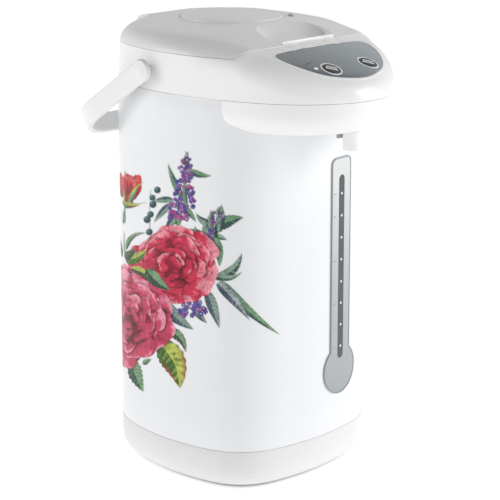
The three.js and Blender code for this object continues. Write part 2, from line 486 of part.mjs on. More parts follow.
  // lever under the beak that a cup presses, hinged on its own stub pins, and the switch above its rear end
  let lever = box(-7.8, 7.8, -117, -105, 303.2, 305).add(box(-7.8, 7.8, -117, -114.8, 296.4, 305)).add(box(-7.8, 7.8, LEVER_Y - 1, LEVER_Y + 1, 303.2, LEVER_Z));
  lever = lever.add(cylX(1.6, -11.4, 11.4, LEVER_Y, LEVER_Z, 14));
  add("cup_lever", lever, GREY());
  let sw = box(-12, 12, -110, -104.6, 311, 315).add(box(-5, 5, -110, -104.6, 309, 311.2)).add(box(-1.5, 1.5, -107.2, -105.6, 306.5, 309.2));
  for (const q of [-1, 1]) sw = sw.add(box(Math.min(q * 9.4, q * 12), Math.max(q * 9.4, q * 12), -110, -104.6, 305.2, 311.2));
  add("lever_switch", sw, DARK());
}

// ---------------------------------------------------------------- control panel
{
  let panel = headSolid(-0.1, Z_HEAD).intersect(panelPrism(0, 330, 400)).subtract(headSolid(1.3, 300));
  for (const s of [-1, 1]) panel = panel.subtract(solid(moved(new THREE.CylinderGeometry(BUTTON_R + 0.3, BUTTON_R + 0.3, 20, 28), { x: s * BUTTON_X, y: BUTTON_Y, z: BUTTON_Z, rx: Math.PI / 2 + rad(DECK_TILT) })));
  panel = panel.subtract(cyl(2.0, 340, 370, { x: -34, y: -116, seg: 14 }));
  add("control_panel", panel, GREY());

  const tilt = rad(DECK_TILT);
  const n = new THREE.Vector3(0, -Math.sin(tilt), Math.cos(tilt));
  // button: a crowned cap on a stem, square to the deck
  const button = (x) => {
    const g = new THREE.LatheGeometry([[0, -8.2], [2.6, -8.2], [2.6, -3.2], [BUTTON_R, -3.2], [BUTTON_R, 0.4], [BUTTON_R - 0.7, 0.95], [0, 1.2]].map(([r, z]) => new THREE.Vector2(r, z)), 28);
    return solid(moved(g, { x, y: BUTTON_Y, z: BUTTON_Z, rx: Math.PI / 2 + tilt }));
  };
  add("button_left", button(-BUTTON_X), DARK());
  add("button_right", button(BUTTON_X), DARK());
  const lensTop = domeZ(-34, -116);
  add("led_lens", cyl(1.7, lensTop - 6, lensTop + 0.3, { x: -34, y: -116, seg: 14 }), mat(0xe9efe6, 0.2));
  // board under the deck with a switch below each stem
  const board = new THREE.BoxGeometry(84, 26, 1.6);
  const at = (d, dx, dy = 0) => ({ x: dx, y: BUTTON_Y + n.y * d + Math.cos(tilt) * dy, z: BUTTON_Z + n.z * d + Math.sin(tilt) * dy, rx: tilt });
  add("control_board", solid(moved(board, at(-14.6, 0, 2))), mat(0x2f6b46, 0.6));
  for (const s of [-1, 1]) add(s < 0 ? "switch_left" : "switch_right", solid(moved(new THREE.BoxGeometry(6, 6, 3.6), at(-11.6, s * BUTTON_X))), DARK());
}

// ---------------------------------------------------------------- lid
{
  const region = lidRegion(-0.15, Z_LID);
  const outer = headSolid(0, Z_HEAD).intersect(region);
  let lid = outer.subtract(headSolid(DECK_T, 300).intersect(lidRegion(-DECK_T + 0.4, 300)));
  // bore that guides the pump disc
  lid = lid.add(cyl(DISC_R + 2.6, 362.8, 383, { y: DISC_Y, seg: 48 }).intersect(headSolid(0.6, Z_HEAD)));
  lid = lid.subtract(cyl(DISC_R + 0.4, 340, 400, { y: DISC_Y, seg: 48 }));
  // finger recess: a scoop that deepens towards the front edge
  const scoopOutline = [[0, -35.2], [9, -35.8], [18, -38.4], [26, -43], [31.5, -50], [34, -59], [33.6, -68], [31.5, -72.6], [28, -74.2]];
  const both = (pts) => [...pts, ...pts.slice(1).reverse().map(([x, y]) => [-x, y])];
  const grow = (pts, g) => pts.map(([x, y]) => { const dx = x, dy = y + 58, l = Math.hypot(dx, dy); return [x + (g * dx) / l, Math.min(y + (g * dy) / l, -33.4)]; });
  const pocketFloor = (drop) => {
    // wedge above the sloping floor
    const shape = new THREE.Shape([[-30, 384 - drop], [-36, 380.2 - drop], [-44, 374.6 - drop], [-54, 369.6 - drop], [-64, 366.6 - drop], [-80, 365.4 - drop], [-100, 365.4 - drop], [-100, 430], [-20, 430], [-20, 384 - drop]].map(([y, z]) => new THREE.Vector2(y, z)));
    return solid(moved(new THREE.ExtrudeGeometry(shape, { depth: 120, bevelEnabled: false }), { x: -60, rx: Math.PI / 2, ry: Math.PI / 2 }));
  };
  const pocket = prism(both(grow(scoopOutline, 2.2)), 362.8, 400).intersect(outer).subtract(prism(both(grow(scoopOutline, 2.2)), 300, 400).subtract(pocketFloor(2.4)));
  const wallOnly = prism(both(grow(scoopOutline, 2.2)), 362.8, 400).subtract(prism(both(scoopOutline), 300, 420)).intersect(outer);
  lid = lid.add(pocket.add(wallOnly).subtract(cyl(DISC_R + 0.4, 340, 400, { y: DISC_Y, seg: 48 })));
  lid = lid.subtract(prism(both(scoopOutline), 300, 420).intersect(pocketFloor(0)));
  // slot for the latch lever in the front wall of the recess
  lid = lid.subtract(box(-30.2, 30.2, -76.8, -72, 362, 400)).subtract(box(-30.2, 30.2, -76.8, -71.2, 360, 367));
  // hinge block at the rear
  let block = solid(moved(new THREE.ExtrudeGeometry(
    new THREE.Shape([[78, 372], [82, 377.2], [90, 377], [97, 375.4], [101, 372], [102, 367], [101.2, 363.6], [98.4, 361.4], [95.6, 360.8], [91.4, 362.8], [84, 363], [80, 366]].map(([y, z]) => new THREE.Vector2(y, z))),
    { depth: 2 * BLOCK_W, bevelEnabled: false }), { x: -BLOCK_W, rx: Math.PI / 2, ry: Math.PI / 2 }));
  lid = lid.add(block);
  lid = lid.subtract(box(BLOCK_W, 60, 91.4, 110, 340, 400)).subtract(box(-60, -BLOCK_W, 91.4, 110, 340, 400));
  for (const q of [-1, 1]) lid = lid.subtract(cylX(6.1, q > 0 ? BLOCK_W : -34, q > 0 ? 34 : -BLOCK_W, HINGE_Y, HINGE_Z, 24)); // clears the ears as it opens
  lid = lid.subtract(cylX(PIN_R + 0.05, -40, 40, HINGE_Y, HINGE_Z, 20));
  // slot for the pump lock
  const la = rad(-41);
  const lockAt = (r, t) => [r * Math.cos(la) - t * Math.sin(la), DISC_Y + r * Math.sin(la) + t * Math.cos(la)];
  const lockBox = (r0, r1, t0, t1, z0, z1) => prism([lockAt(r0, t0), lockAt(r1, t0), lockAt(r1, t1), lockAt(r0, t1)], z0, z1);
  lid = lid.subtract(lockBox(47.2, 51.2, -4, 10.4, 370, 400));
  lid = lid.decompose().sort((p, q) => q.volume() - p.volume())[0];
  add("lid_shell", lid, WHITE());

  const lockTop = domeZ(...lockAt(49.2, 0));
  add("pump_lock", lockBox(47.5, 50.9, -3.6, 3.6, lockTop - 5.2, lockTop + 1.3).add(lockBox(46.6, 52.2, -5.5, 5.5, lockTop - 6.0, lockTop - 4.2)), DARK());

  // latch lever
  add("lid_latch", box(-29.8, 29.8, -76.4, -74.6, 362.9, 371.4).add(box(-29.8, 29.8, -76.4, -71, 366.6, 367.8)), WHITE());

  // liner: plate above the seat, chamber for the bellows and an air hole
  const linerOut = lidRegion(-4.6, 300).intersect(headSolid(7.2, 300)).intersect(prism([[-130, -77.6], [130, -77.6], [130, 84], [-130, 84]], 355.4, 358.2));
  let liner = linerOut.add(cyl(50, 336, 357, { y: DISC_Y, seg: 40 })).subtract(cyl(47.4, 339, 380, { y: DISC_Y, seg: 40 })).subtract(cyl(3.2, 300, 345, { y: DISC_Y, seg: 16 }));
  add("lid_liner", liner, mat(0xdfe1e0, 0.4));
  add("lid_gasket", lathe([[THROAT_R + 0.8, 350.8], [THROAT_R + 3.4, 350.8], [THROAT_R + 3.4, 353.6], [THROAT_R + 2.4, 355.1], [THROAT_R + 0.8, 355.1], [THROAT_R + 0.8, 350.8]], { seg: 36 }), SILICONE());

  // pump disc, bellows and return spring
  let disc = lathe([[0, DISC_EDGE_Z + DISC_CROWN], [14, DISC_EDGE_Z + DISC_CROWN - 0.45], [26, DISC_EDGE_Z + DISC_CROWN - 1.65], [36, DISC_EDGE_Z + DISC_CROWN - 3.2], [41, DISC_EDGE_Z + 0.55], [DISC_R, DISC_EDGE_Z - 0.6], [DISC_R, 366], [DISC_R - 2, 366], [DISC_R - 2, DISC_EDGE_Z - 2.6], [0, DISC_EDGE_Z - 2.6]], { y: DISC_Y, seg: 40 });
  add("pump_disc", disc, WHITE());
  const wave = [];
  const folds = 4;
  for (let i = 0; i <= 2 * folds; i++) wave.push([i % 2 ? 38 : 30, BELLOWS_Z0 + ((BELLOWS_Z1 - BELLOWS_Z0) * i) / (2 * folds)]);
  const inside = wave.map(([r, z]) => [r - 1.4, z]).reverse();
  add("bellows", lathe([...wave, ...inside, wave[0]], { y: DISC_Y, seg: 20 }), SILICONE());
  const turns = 5, helix = [];
  const zs0 = BELLOWS_Z0 + 1.2, zs1 = BELLOWS_Z1 - 1.2;
  for (let i = 0; i <= turns * 10; i++) {
    const a = (2 * Math.PI * i) / 10;
    helix.push([14 * Math.cos(a), DISC_Y + 14 * Math.sin(a), zs0 + ((zs1 - zs0) * i) / (turns * 10)]);
  }
  add("pump_spring", sweep(helix, 0.9, { steps: turns * 10, sides: 5 }), STEEL());
}

// ---------------------------------------------------------------- carry handle and its pins
{
  // strap in its own plane: u across, s away from the pivots; then swung to its resting angle
  const H = HANDLE_HALF, L = HANDLE_L, T = HANDLE_T / 2, C = 40;
  const line = [];
  line.push([-H, 0]);
  line.push([-H, L - C]);
  for (let i = 1; i < 8; i++) {
    const a = Math.PI - (i / 8) * (Math.PI / 2);
    line.push([-H + C + C * Math.cos(a), L - C + C * Math.sin(a)]);
  }
  line.push([-H + C, L]);
  const full = [...line, ...line.slice().reverse().map(([u, s]) => [-u, s])];
  const offset = (d) =>
    full.map(([u, s], i) => {
      const p = full[Math.max(i - 1, 0)], q = full[Math.min(i + 1, full.length - 1)];
      const tx = q[0] - p[0], ty = q[1] - p[1], l = Math.hypot(tx, ty);
      return [u - (d * ty) / l, s + (d * tx) / l];
    });
  const shape = new THREE.Shape([...offset(T), ...offset(-T).reverse()].map(([u, s]) => new THREE.Vector2(u, s)));
  const strap = new THREE.ExtrudeGeometry(shape, { depth: HANDLE_W, bevelEnabled: false });
  strap.translate(0, 0, -HANDLE_W / 2);
  let bail = solid(strap);
  // round eyes at the pivots
  for (const s of [-1, 1]) bail = bail.add(solid(moved(new THREE.CylinderGeometry(HANDLE_W / 2 + 1.6, HANDLE_W / 2 + 1.6, HANDLE_T, 32), { x: s * H, rz: Math.PI / 2 })));
  for (const s of [-1, 1]) bail = bail.subtract(solid(moved(new THREE.CylinderGeometry(3.3, 3.3, 20, 20), { x: s * H, rz: Math.PI / 2 })));
  let g = geometryOf(bail);
  // the plane's s axis points back and down
  g = moved(g, { rx: -rad(HANDLE_DROP) });
  g = moved(g, { y: PIVOT_Y, z: PIVOT_Z });
  add("carry_handle", solid(g), WHITE());
  for (const s of [-1, 1]) {
    let pin = cylX(3.2, s > 0 ? 86.6 : -HANDLE_HALF - 2.4, s > 0 ? HANDLE_HALF + 2.4 : -86.6, PIVOT_Y, PIVOT_Z, 20);
    pin = pin.add(cylX(6.2, s > 0 ? HANDLE_HALF + 2.9 : -HANDLE_HALF - 4.1, s > 0 ? HANDLE_HALF + 4.1 : -HANDLE_HALF - 2.9, PIVOT_Y, PIVOT_Z, 28)).add(cylX(3.2, s > 0 ? HANDLE_HALF : -HANDLE_HALF - 3, s > 0 ? HANDLE_HALF + 3 : -HANDLE_HALF, PIVOT_Y, PIVOT_Z, 20));
    pin = pin.add(cylX(5.6, s > 0 ? 86.6 : -88.4, s > 0 ? 88.4 : -86.6, PIVOT_Y, PIVOT_Z, 20));
    add(s < 0 ? "handle_pin_left" : "handle_pin_right", pin, WHITE());
  }
}

export default part;
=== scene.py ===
import math

import bpy
import numpy as np
from mathutils import Matrix, Vector


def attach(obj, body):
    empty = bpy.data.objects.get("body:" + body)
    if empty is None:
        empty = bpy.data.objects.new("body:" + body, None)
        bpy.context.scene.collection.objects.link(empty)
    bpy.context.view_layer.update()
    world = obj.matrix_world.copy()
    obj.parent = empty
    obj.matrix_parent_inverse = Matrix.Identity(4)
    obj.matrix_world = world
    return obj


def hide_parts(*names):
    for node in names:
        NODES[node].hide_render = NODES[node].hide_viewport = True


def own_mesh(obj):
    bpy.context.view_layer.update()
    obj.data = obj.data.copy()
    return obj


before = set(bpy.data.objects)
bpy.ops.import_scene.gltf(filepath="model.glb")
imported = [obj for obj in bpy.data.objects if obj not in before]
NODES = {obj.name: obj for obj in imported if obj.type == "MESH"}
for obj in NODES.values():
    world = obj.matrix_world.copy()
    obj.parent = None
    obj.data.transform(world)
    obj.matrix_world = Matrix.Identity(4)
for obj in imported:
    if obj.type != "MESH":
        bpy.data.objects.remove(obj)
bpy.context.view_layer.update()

# ------------------------------------------------------------------ dimensions, as in the CAD
BODY_R, BODY_TAPER = 98.7, 0.0095
Z_BASE_TOP, Z_HEAD, Z_LID = 35.2, 330.5, 362.5
SHELL_T, DECK_T = 2.4, 3.0
BASE_INSET, BASE_ROUND, Z_FLOOR_GAP = 13.9, 20.0, 2.2
POT_R, POT_T, POT_Z0, POT_Z1, THROAT_R, Z_SEAT = 82.0, 1.2, 50.0, 321.0, 74.0, 350.5
DISC_Y, DISC_R, DISC_EDGE_Z, DISC_CROWN = 11.5, 42.8, 381.3, 4.6
HINGE_Y, HINGE_Z, PIN_R, BLOCK_W = 96.0, 366.0, 1.9, 27.0
NOZZLE_Y, NOZZLE_R, NOZZLE_BOTTOM, Z_BEAK_BOTTOM = -125.5, 8.2, 287.5, 302.5
LEVER_Y, LEVER_Z = -113.0, 309.4
GAUGE_X, GAUGE_W, GAUGE_TOP, BULB_Z, BULB_R = 24.6, 13.2, 272.6, 89.5, 21.5
BUTTON_X, BUTTON_Y, BUTTON_Z, BUTTON_R, DECK_TILT = 21.5, -121.0, 354.2, 7.2, 21.0
BUTTON_LONG = 1.1
BELLOWS_Z0, BELLOWS_Z1 = 340, 377.4
# brightness of the studio by height (0 is the horizon, 1 straight up), and how dim it is behind the viewer
SKY = [(0.0, 0.58), (0.3, 0.79), (0.6, 0.8), (0.72, 0.1), (1.0, 0.02)]
BEHIND_VIEWER = 0.05
LIGHTS = [
    ("side_left", (-1.75, 1.3, 1.25), (0, 0, 0.25), 1.3, 12),
    ("side_right", (1.5, -1.75, 1.25), (0, 0, 0.25), 1.3, 26),
]
PIVOT_Y, PIVOT_Z, HANDLE_L, HANDLE_HALF, HANDLE_W, HANDLE_T, HANDLE_DROP = 13.0, 346.5, 110.0, 101.0, 17.5, 5.2, 33.5
SEG = 200


# ------------------------------------------------------------------ mesh helpers
def obj_from(name, verts, faces):
    me = bpy.data.meshes.new(name)
    me.from_pydata([tuple(v) for v in np.asarray(verts, float) * 0.001], [], [tuple(int(i) for i in f) for f in faces])
    me.update()
    o = bpy.data.objects.new(name, me)
    bpy.context.scene.collection.objects.link(o)
    return o


def volume(verts, faces):
    v = np.asarray(verts, float)
    s = 0.0
    for f in faces:
        a = v[f[0]]
        for i in range(1, len(f) - 1):
            s += np.dot(a, np.cross(v[f[i]], v[f[i + 1]]))
    return s


def outward(verts, faces):
    return [tuple(reversed(f)) for f in faces] if volume(verts, faces) < 0 else faces


def loft(rows, closed=False, name="loft", open_end=False):
    """Rings stacked into a closed body: the ends are filled, or the last ring joins the first."""
    rows = np.asarray(rows, float)
    n, m = rows.shape[:2]
    verts = rows.reshape(-1, 3)
    faces = []
    for i in range(n if closed else n - 1):
        a, b = i * m, ((i + 1) % n) * m
        for j in range(m):
            k = (j + 1) % m
            faces.append((a + j, a + k, b + k, b + j))
    if open_end:
        return obj_from(name, verts, faces)
    if not closed:
        verts = np.vstack([verts, rows[0].mean(0), rows[-1].mean(0)])
        c0, c1 = n * m, n * m + 1
        for j in range(m):
            k = (j + 1) % m
            faces.append((c0, k, j))
            faces.append((c1, (n - 1) * m + j, (n - 1) * m + k))
    return obj_from(name, verts, outward(verts, faces))


def boolean(a, b, op, keep=False):
    bpy.context.view_layer.update()
    m = a.modifiers.new("b", "BOOLEAN")
    m.object = b
    m.operation = op
    m.solver = SOLVER
    ev = a.evaluated_get(bpy.context.evaluated_depsgraph_get())
    me = bpy.data.meshes.new_from_object(ev)
    a.modifiers.clear()
    old = a.data
    a.data = me
    bpy.data.meshes.remove(old)
    if not keep:
        bpy.data.objects.remove(b)
    return a


try:
    _t = bpy.data.objects.new("t", bpy.data.meshes.new("t"))
    _m = _t.modifiers.new("b", "BOOLEAN")
    _m.solver = "MANIFOLD"
    SOLVER = "MANIFOLD"
except TypeError:
    SOLVER = "EXACT"
bpy.data.objects.remove(_t)


def cut(a, *bs):
    for b in bs:
        boolean(a, b, "DIFFERENCE")
    return a


def join(a, *bs):
    for b in bs:
        boolean(a, b, "UNION")
    return a


def common(a, *bs):
    for b in bs:
        boolean(a, b, "INTERSECT")
    return a


def tilted(o, rx=0.0, ry=0.0, rz=0.0, at=(0, 0, 0)):
    """Turns a mesh about the origin, then moves it, inside its own data."""
    m = Matrix.Translation(Vector(at) * 0.001) @ Matrix.Rotation(rz, 4, "Z") @ Matrix.Rotation(ry, 4, "Y") @ Matrix.Rotation(rx, 4, "X")
    o.data.transform(m)
    return o


def circle(r, z, x=0.0, y=0.0, seg=64, ry=None):
    a = np.linspace(0, 2 * np.pi, seg, endpoint=False)
    return np.stack([x + r * np.cos(a), y + (ry or r) * np.sin(a), np.full(seg, float(z))], -1)


def cyl(r, z0, z1, x=0.0, y=0.0, seg=64, r2=None, name="cyl"):
    return loft([circle(r, z0, x, y, seg), circle(r if r2 is None else r2, z1, x, y, seg)], name=name)


def cyl_x(r, x0, x1, y, z, seg=48, name="cylx"):
    o = cyl(r, x0, x1, seg=seg, name=name)
    return tilted(o, ry=math.pi / 2, at=(0, y, z))


def box(x0, x1, y0, y1, z0, z1, name="box"):
    return prism([(x0, y0), (x1, y0), (x1, y1), (x0, y1)], z0, z1, name)


def prism(pts, z0, z1, name="prism"):
    n = len(pts)
    verts = [(x, y, z0) for x, y in pts] + [(x, y, z1) for x, y in pts]
    faces = [tuple(range(n)), tuple(range(2 * n - 1, n - 1, -1))]
    faces += [(i, i + n, (i + 1) % n + n, (i + 1) % n) for i in range(n)]
    area = sum(pts[i][0] * pts[(i + 1) % n][1] - pts[(i + 1) % n][0] * pts[i][1] for i in range(n))
    if area > 0:
        faces = [tuple(reversed(f)) for f in faces]
    return obj_from(name, verts, faces)


def along_x(pts, x0, x1, name="profile"):
    """Outline of (y, z) points extruded along X."""
    n = len(pts)
    verts = [(x0, y, z) for y, z in pts] + [(x1, y, z) for y, z in pts]
    faces = [tuple(range(n)), tuple(range(2 * n - 1, n - 1, -1))]
    faces += [(i, i + n, (i + 1) % n + n, (i + 1) % n) for i in range(n)]
    tri = [f for f in faces[2:]]
    area = sum(pts[i][0] * pts[(i + 1) % n][1] - pts[(i + 1) % n][0] * pts[i][1] for i in range(n))
    if area > 0:
        faces = [tuple(reversed(f)) for f in faces]
    return obj_from(name, verts, faces)


def lathe(profile, x=0.0, y=0.0, seg=96, name="lathe", squash_y=1.0):
    """Body of revolution about a vertical axis from (radius, height) points; a point at radius 0 closes on the axis."""
    pts = list(profile)
    closed = pts[0][0] > 1e-6
    a = np.linspace(0, 2 * np.pi, seg, endpoint=False)
    verts, faces, index = [], [], []
    for r, z in pts:
        if r <= 1e-6:
            index.append([len(verts)] * seg)
            verts.append((x, y, z))
        else:
            index.append(list(range(len(verts), len(verts) + seg)))
            verts += [(x + r * math.cos(t), y + squash_y * r * math.sin(t), z) for t in a]
    n = len(pts)
    for i in range(n if closed else n - 1):
        p, q = index[i], index[(i + 1) % n]
        for j in range(seg):
            k = (j + 1) % seg
            f = []
            for v in (p[j], p[k], q[k], q[j]):
                if v not in f:
                    f.append(v)
            if len(f) > 2:
                faces.append(tuple(f))
    return obj_from(name, verts, outward(verts, faces))


def rounded(profile, r=0.4, steps=3, skip_axis=True):
    """Rounds the corners of a profile, each by at most r."""
    pts = [np.array(p, float) for p in profile]
    closed = pts[0][0] > 1e-6
    n = len(pts)
    out = []
    for i, p in enumerate(pts):
        if not closed and i in (0, n - 1):
            out.append(tuple(p))
            continue
        a, b = pts[i - 1], pts[(i + 1) % n]
        da, db = a - p, b - p
        la, lb = np.linalg.norm(da), np.linalg.norm(db)
        if la < 1e-6 or lb < 1e-6:
            continue
        d = min(r, la * 0.45, lb * 0.45)
        p0, p1 = p + da / la * d, p + db / lb * d
        for k in range(steps + 1):
            t = k / steps
            out.append(tuple((1 - t) ** 2 * p0 + 2 * t * (1 - t) * p + t * t * p1))
    return out


def smooth_curve(pts, n, closed=True):
    """Catmull-Rom through 2D or 3D points, n samples in all, evenly spread."""
    p = np.asarray(pts, float)
    m = len(p)
    seg = m if closed else m - 1
    dense = []
    for i in range(seg):
        p0, p1, p2, p3 = (p[(i + k) % m] if closed else p[min(max(i + k, 0), m - 1)] for k in (-1, 0, 1, 2))
        for t in np.linspace(0, 1, 24, endpoint=False):
            dense.append(0.5 * (2 * p1 + (p2 - p0) * t + (2 * p0 - 5 * p1 + 4 * p2 - p3) * t * t + (3 * p1 - p0 - 3 * p2 + p3) * t**3))
    if not closed:
        dense.append(p[-1])
    d = np.array(dense)
    loop = np.vstack([d, d[:1]]) if closed else d
    s = np.concatenate([[0], np.cumsum(np.linalg.norm(np.diff(loop, axis=0), axis=1))])
    want = np.linspace(0, s[-1], n, endpoint=not closed)
    return np.stack([np.interp(want, s, loop[:, k]) for k in range(p.shape[1])], -1)


def shade(o, angle=32.0):
    o.data.shade_smooth()
    o.data.set_sharp_from_angle(angle=math.radians(angle))
    return o


def bevel(o, width=0.4, segments=2, angle=38.0):
    m = o.modifiers.new("edge", "BEVEL")
    m.width = width * 0.001
    m.segments = segments
    m.limit_method = "ANGLE"
    m.angle_limit = math.radians(angle)
    m.harden_normals = False
    bpy.context.view_layer.update()
    ev = o.evaluated_get(bpy.context.evaluated_depsgraph_get())
    me = bpy.data.meshes.new_from_object(ev)
    o.modifiers.clear()
    old = o.data
    o.data = me
    bpy.data.meshes.remove(old)
    return o


def piece(o, name, body, material, replaces=(), angle=32.0):
    o.name = name
    o.data.name = name
    o.data.materials.clear()
    o.data.materials.append(material)
    shade(o, angle)
    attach(o, body)
    if replaces:
        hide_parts(*replaces)
    return o


# ------------------------------------------------------------------ curves and the outer surface
def table(xs, ys):
    xs, ys = np.asarray(xs, float), np.asarray(ys, float)
    h, d = np.diff(xs), np.diff(ys) / np.diff(xs)
    m = np.zeros(len(xs))
    for i in range(1, len(xs) - 1):
        if d[i - 1] * d[i] > 0:
            w1, w2 = 2 * h[i] + h[i - 1], h[i] + 2 * h[i - 1]
            m[i] = (w1 + w2) / (w1 / d[i - 1] + w2 / d[i])
    m[0], m[-1] = d[0], d[-1]

    def f(x):
        x = np.clip(np.asarray(x, float), xs[0], xs[-1])
        i = np.clip(np.searchsorted(xs, x, side="right") - 1, 0, len(xs) - 2)
        t = (x - xs[i]) / h[i]
        return ys[i] * (1 + 2 * t) * (1 - t) ** 2 + h[i] * m[i] * t * (1 - t) ** 2 + ys[i + 1] * t * t * (3 - 2 * t) + h[i] * m[i + 1] * t * t * (t - 1)

    return f


def body_r(phi, z=Z_HEAD):
    k = 1 - BODY_TAPER * (z - Z_BASE_TOP) / (Z_HEAD - Z_BASE_TOP)
    return BODY_R * (1 + 0.0084 * np.cos(2 * phi) - 0.0516 * np.cos(4 * phi) + 0.0076 * np.cos(8 * phi)) * k


def from_front(phi):
    return np.degrees(np.abs((np.asarray(phi) + np.pi / 2 + np.pi) % (2 * np.pi) - np.pi))


beak_r = table([-11.5, -5, 0, 5, 11.5, 18.3, 26.3, 33.6, 41.2, 49.9, 58, 66.5, 78, 90, 102], [143.8, 147, 147.5, 147, 143.8, 138.6, 131.6, 124.0, 116.2, 108.0, 102.4, 98.6, 95.3, 94.1, 94.6])


def head_r(phi):
    t = from_front(phi)
    near, far = beak_r(t), body_r(phi) - 0.1
    w = np.clip((t - 80) / 14, 0, 1)
    w = w * w * (3 - 2 * w)
    return near * (1 - w) + far * w


def lin(xs, ys):
    return lambda phi: np.interp(from_front(phi), xs, ys)


draft = lin([0, 45, 80, 110, 180], [0, 0, 1.2, 2.0, 2.0])
round_a = lin([0, 20, 35, 50, 65, 80, 100, 120, 180], [15, 15, 19, 23, 24, 22, 18, 15, 14])
round_b = lin([0, 20, 35, 50, 65, 80, 100, 120, 180], [17, 17, 17.5, 16, 15, 14, 13, 12, 12])
ridge = table(
    [-155, -145, -136, -128, -120, -110, -100, -90, -84, -79, -75, -70, -60, -50, -40, -30, -15, 0, 14, 30, 50, 70, 90, 100],
    [338, 343.5, 348.5, 352.0, 355.0, 358.6, 361.8, 364.6, 366.2, 368.1, 370.8, 373.0, 376.0, 378.4, 380.2, 381.4, 382.0, 382.3, 382.4, 382.2, 381.6, 380.2, 378.2, 377.0],
)


def cross_fall(y):
    return np.interp(y, [-150, -90, -76, -60, -45, -20, 100], [0.0008, 0.0004, 0.0005, 0.001, 0.0012, 0.0011, 0.0011])


def dome_z(x, y):
    x = np.asarray(x, float)
    return ridge(y) - cross_fall(y) * x * x


PHI = -np.pi / 2 + 2 * np.pi * np.arange(SEG) / SEG


def head(e, z_bottom, name="head", rings=13):
    rows = []

    def at(r, z):
        rows.append(np.stack([r * np.cos(PHI), r * np.sin(PHI), np.broadcast_to(z, PHI.shape)], -1))

    at(head_r(PHI) - e, z_bottom)
    if z_bottom < Z_HEAD - 1:
        at(head_r(PHI) - e, Z_HEAD)
    base = head_r(PHI) - draft(PHI)
    crest = dome_z(base * np.cos(PHI), base * np.sin(PHI)) - e
    a, b = round_a(PHI) - e, np.minimum(round_b(PHI) - e, crest - Z_HEAD - 0.6)
    # the wall, in steps, up to where the rounding starts
    top0 = crest - b
    for t in (0.25, 0.5, 0.75):
        at(head_r(PHI) - e - t * draft(PHI), Z_HEAD + t * (top0 - Z_HEAD))
    for psi in np.radians(np.linspace(0, 90, rings)):
        r = base - e - a * (1 - np.cos(psi))
        at(r, dome_z(r * np.cos(PHI), r * np.sin(PHI)) - e - b * (1 - np.sin(psi)))
    for t in (0.96, 0.91, 0.85, 0.78, 0.7, 0.62, 0.54, 0.46, 0.38, 0.3, 0.22, 0.14, 0.06):
        r = (base - round_a(PHI)) * t
        at(r, dome_z(r * np.cos(PHI), r * np.sin(PHI)) - e)
    return loft(rows, name=name)


def body_prism(e, z0, z1, steps=2, seg=SEG):
    phi = -np.pi / 2 + 2 * np.pi * np.arange(seg) / seg
    return loft([np.stack([(body_r(phi, z) - e) * np.cos(phi), (body_r(phi, z) - e) * np.sin(phi), np.full(seg, z)], -1) for z in np.linspace(z0, z1, steps)])


def ring_section(section, r_of):
    """Closed ring: the section's (inset, z) points carried round the outline."""
    return loft([np.stack([(r_of(PHI, z) - e) * np.cos(PHI), (r_of(PHI, z) - e) * np.sin(PHI), np.full(SEG, float(z))], -1) for e, z in section], closed=True)


def both(pts):
    return list(pts) + [(-x, y) for x, y in list(pts)[1:][::-1]]


LID_EDGE = [(0, -79), (30, -78.5), (48, -77.3), (61, -76.2), (70, -74.6), (75.5, -72.2), (79.5, -68.6), (82.5, -64), (84.5, -58)]


def lid_region(forward, z_low, z_high=420):
    half = smooth_curve([(-30, -78.5)] + LID_EDGE, 120, closed=False)
    half = [(x, y - forward) for x, y in half if x >= 0]
    half = [(0, half[0][1])] + half
    pts = [(-x, y) for x, y in half[1:][::-1]] + half
    return prism([(-130, half[-1][1])] + pts + [(130, half[-1][1]), (130, 130), (-130, 130)], z_low, z_high)


PANEL = [(0, -137.2), (15, -135), (30, -128.6), (41, -118.8), (49, -106.5), (52.5, -96), (52, -90.5), (48, -86.6), (42, -85.4), (20, -85.4), (0, -85.4)]
_full = PANEL + [(-x, y) for x, y in PANEL[1:-1][::-1]]
PANEL_CURVE = smooth_curve(_full, 180)


def panel_prism(grow, z0, z1):
    p = PANEL_CURVE
    t = np.roll(p, -1, 0) - np.roll(p, 1, 0)
    n = np.stack([t[:, 1], -t[:, 0]], -1)
    n /= np.linalg.norm(n, axis=1)[:, None]
    if np.sum(n * (p - p.mean(0))) < 0:
        n = -n
    return prism([tuple(q) for q in p + n * grow], z0, z1)


# ------------------------------------------------------------------ materials
def nodes_of(name):
    m = bpy.data.materials.new(name)
    m.use_nodes = True
    t = m.node_tree
    return m, t, t.nodes["Principled BSDF"]


def noise(t, scale, detail=4.0, rough=0.55, coords=None, stretch=None):
    c = t.nodes.new("ShaderNodeTexCoord")
    n = t.nodes.new("ShaderNodeTexNoise")
    n.inputs["Scale"].default_value = scale
    n.inputs["Detail"].default_value = detail
    n.inputs["Roughness"].default_value = rough
    if stretch:
        mp = t.nodes.new("ShaderNodeMapping")
        mp.inputs["Scale"].default_value = stretch
        t.links.new(c.outputs["Object"], mp.inputs["Vector"])
        t.links.new(mp.outputs["Vector"], n.inputs["Vector"])
    else:
        t.links.new(c.outputs["Object"], n.inputs["Vector"])
    return n


def ramp(t, source, stops):
    r = t.nodes.new("ShaderNodeValToRGB")
    e = r.color_ramp.elements
    while len(e) < len(stops):
        e.new(0.5)
    for el, (p, c) in zip(e, stops):
        el.position = p
        el.color = (*c, 1.0) if len(c) == 3 else c
    t.links.new(source, r.inputs["Fac"])
    return r


def to_range(t, source, lo, hi):
    r = t.nodes.new("ShaderNodeMapRange")
    r.inputs["To Min"].default_value = lo
    r.inputs["To Max"].default_value = hi
    t.links.new(source, r.inputs["Value"])
    return r


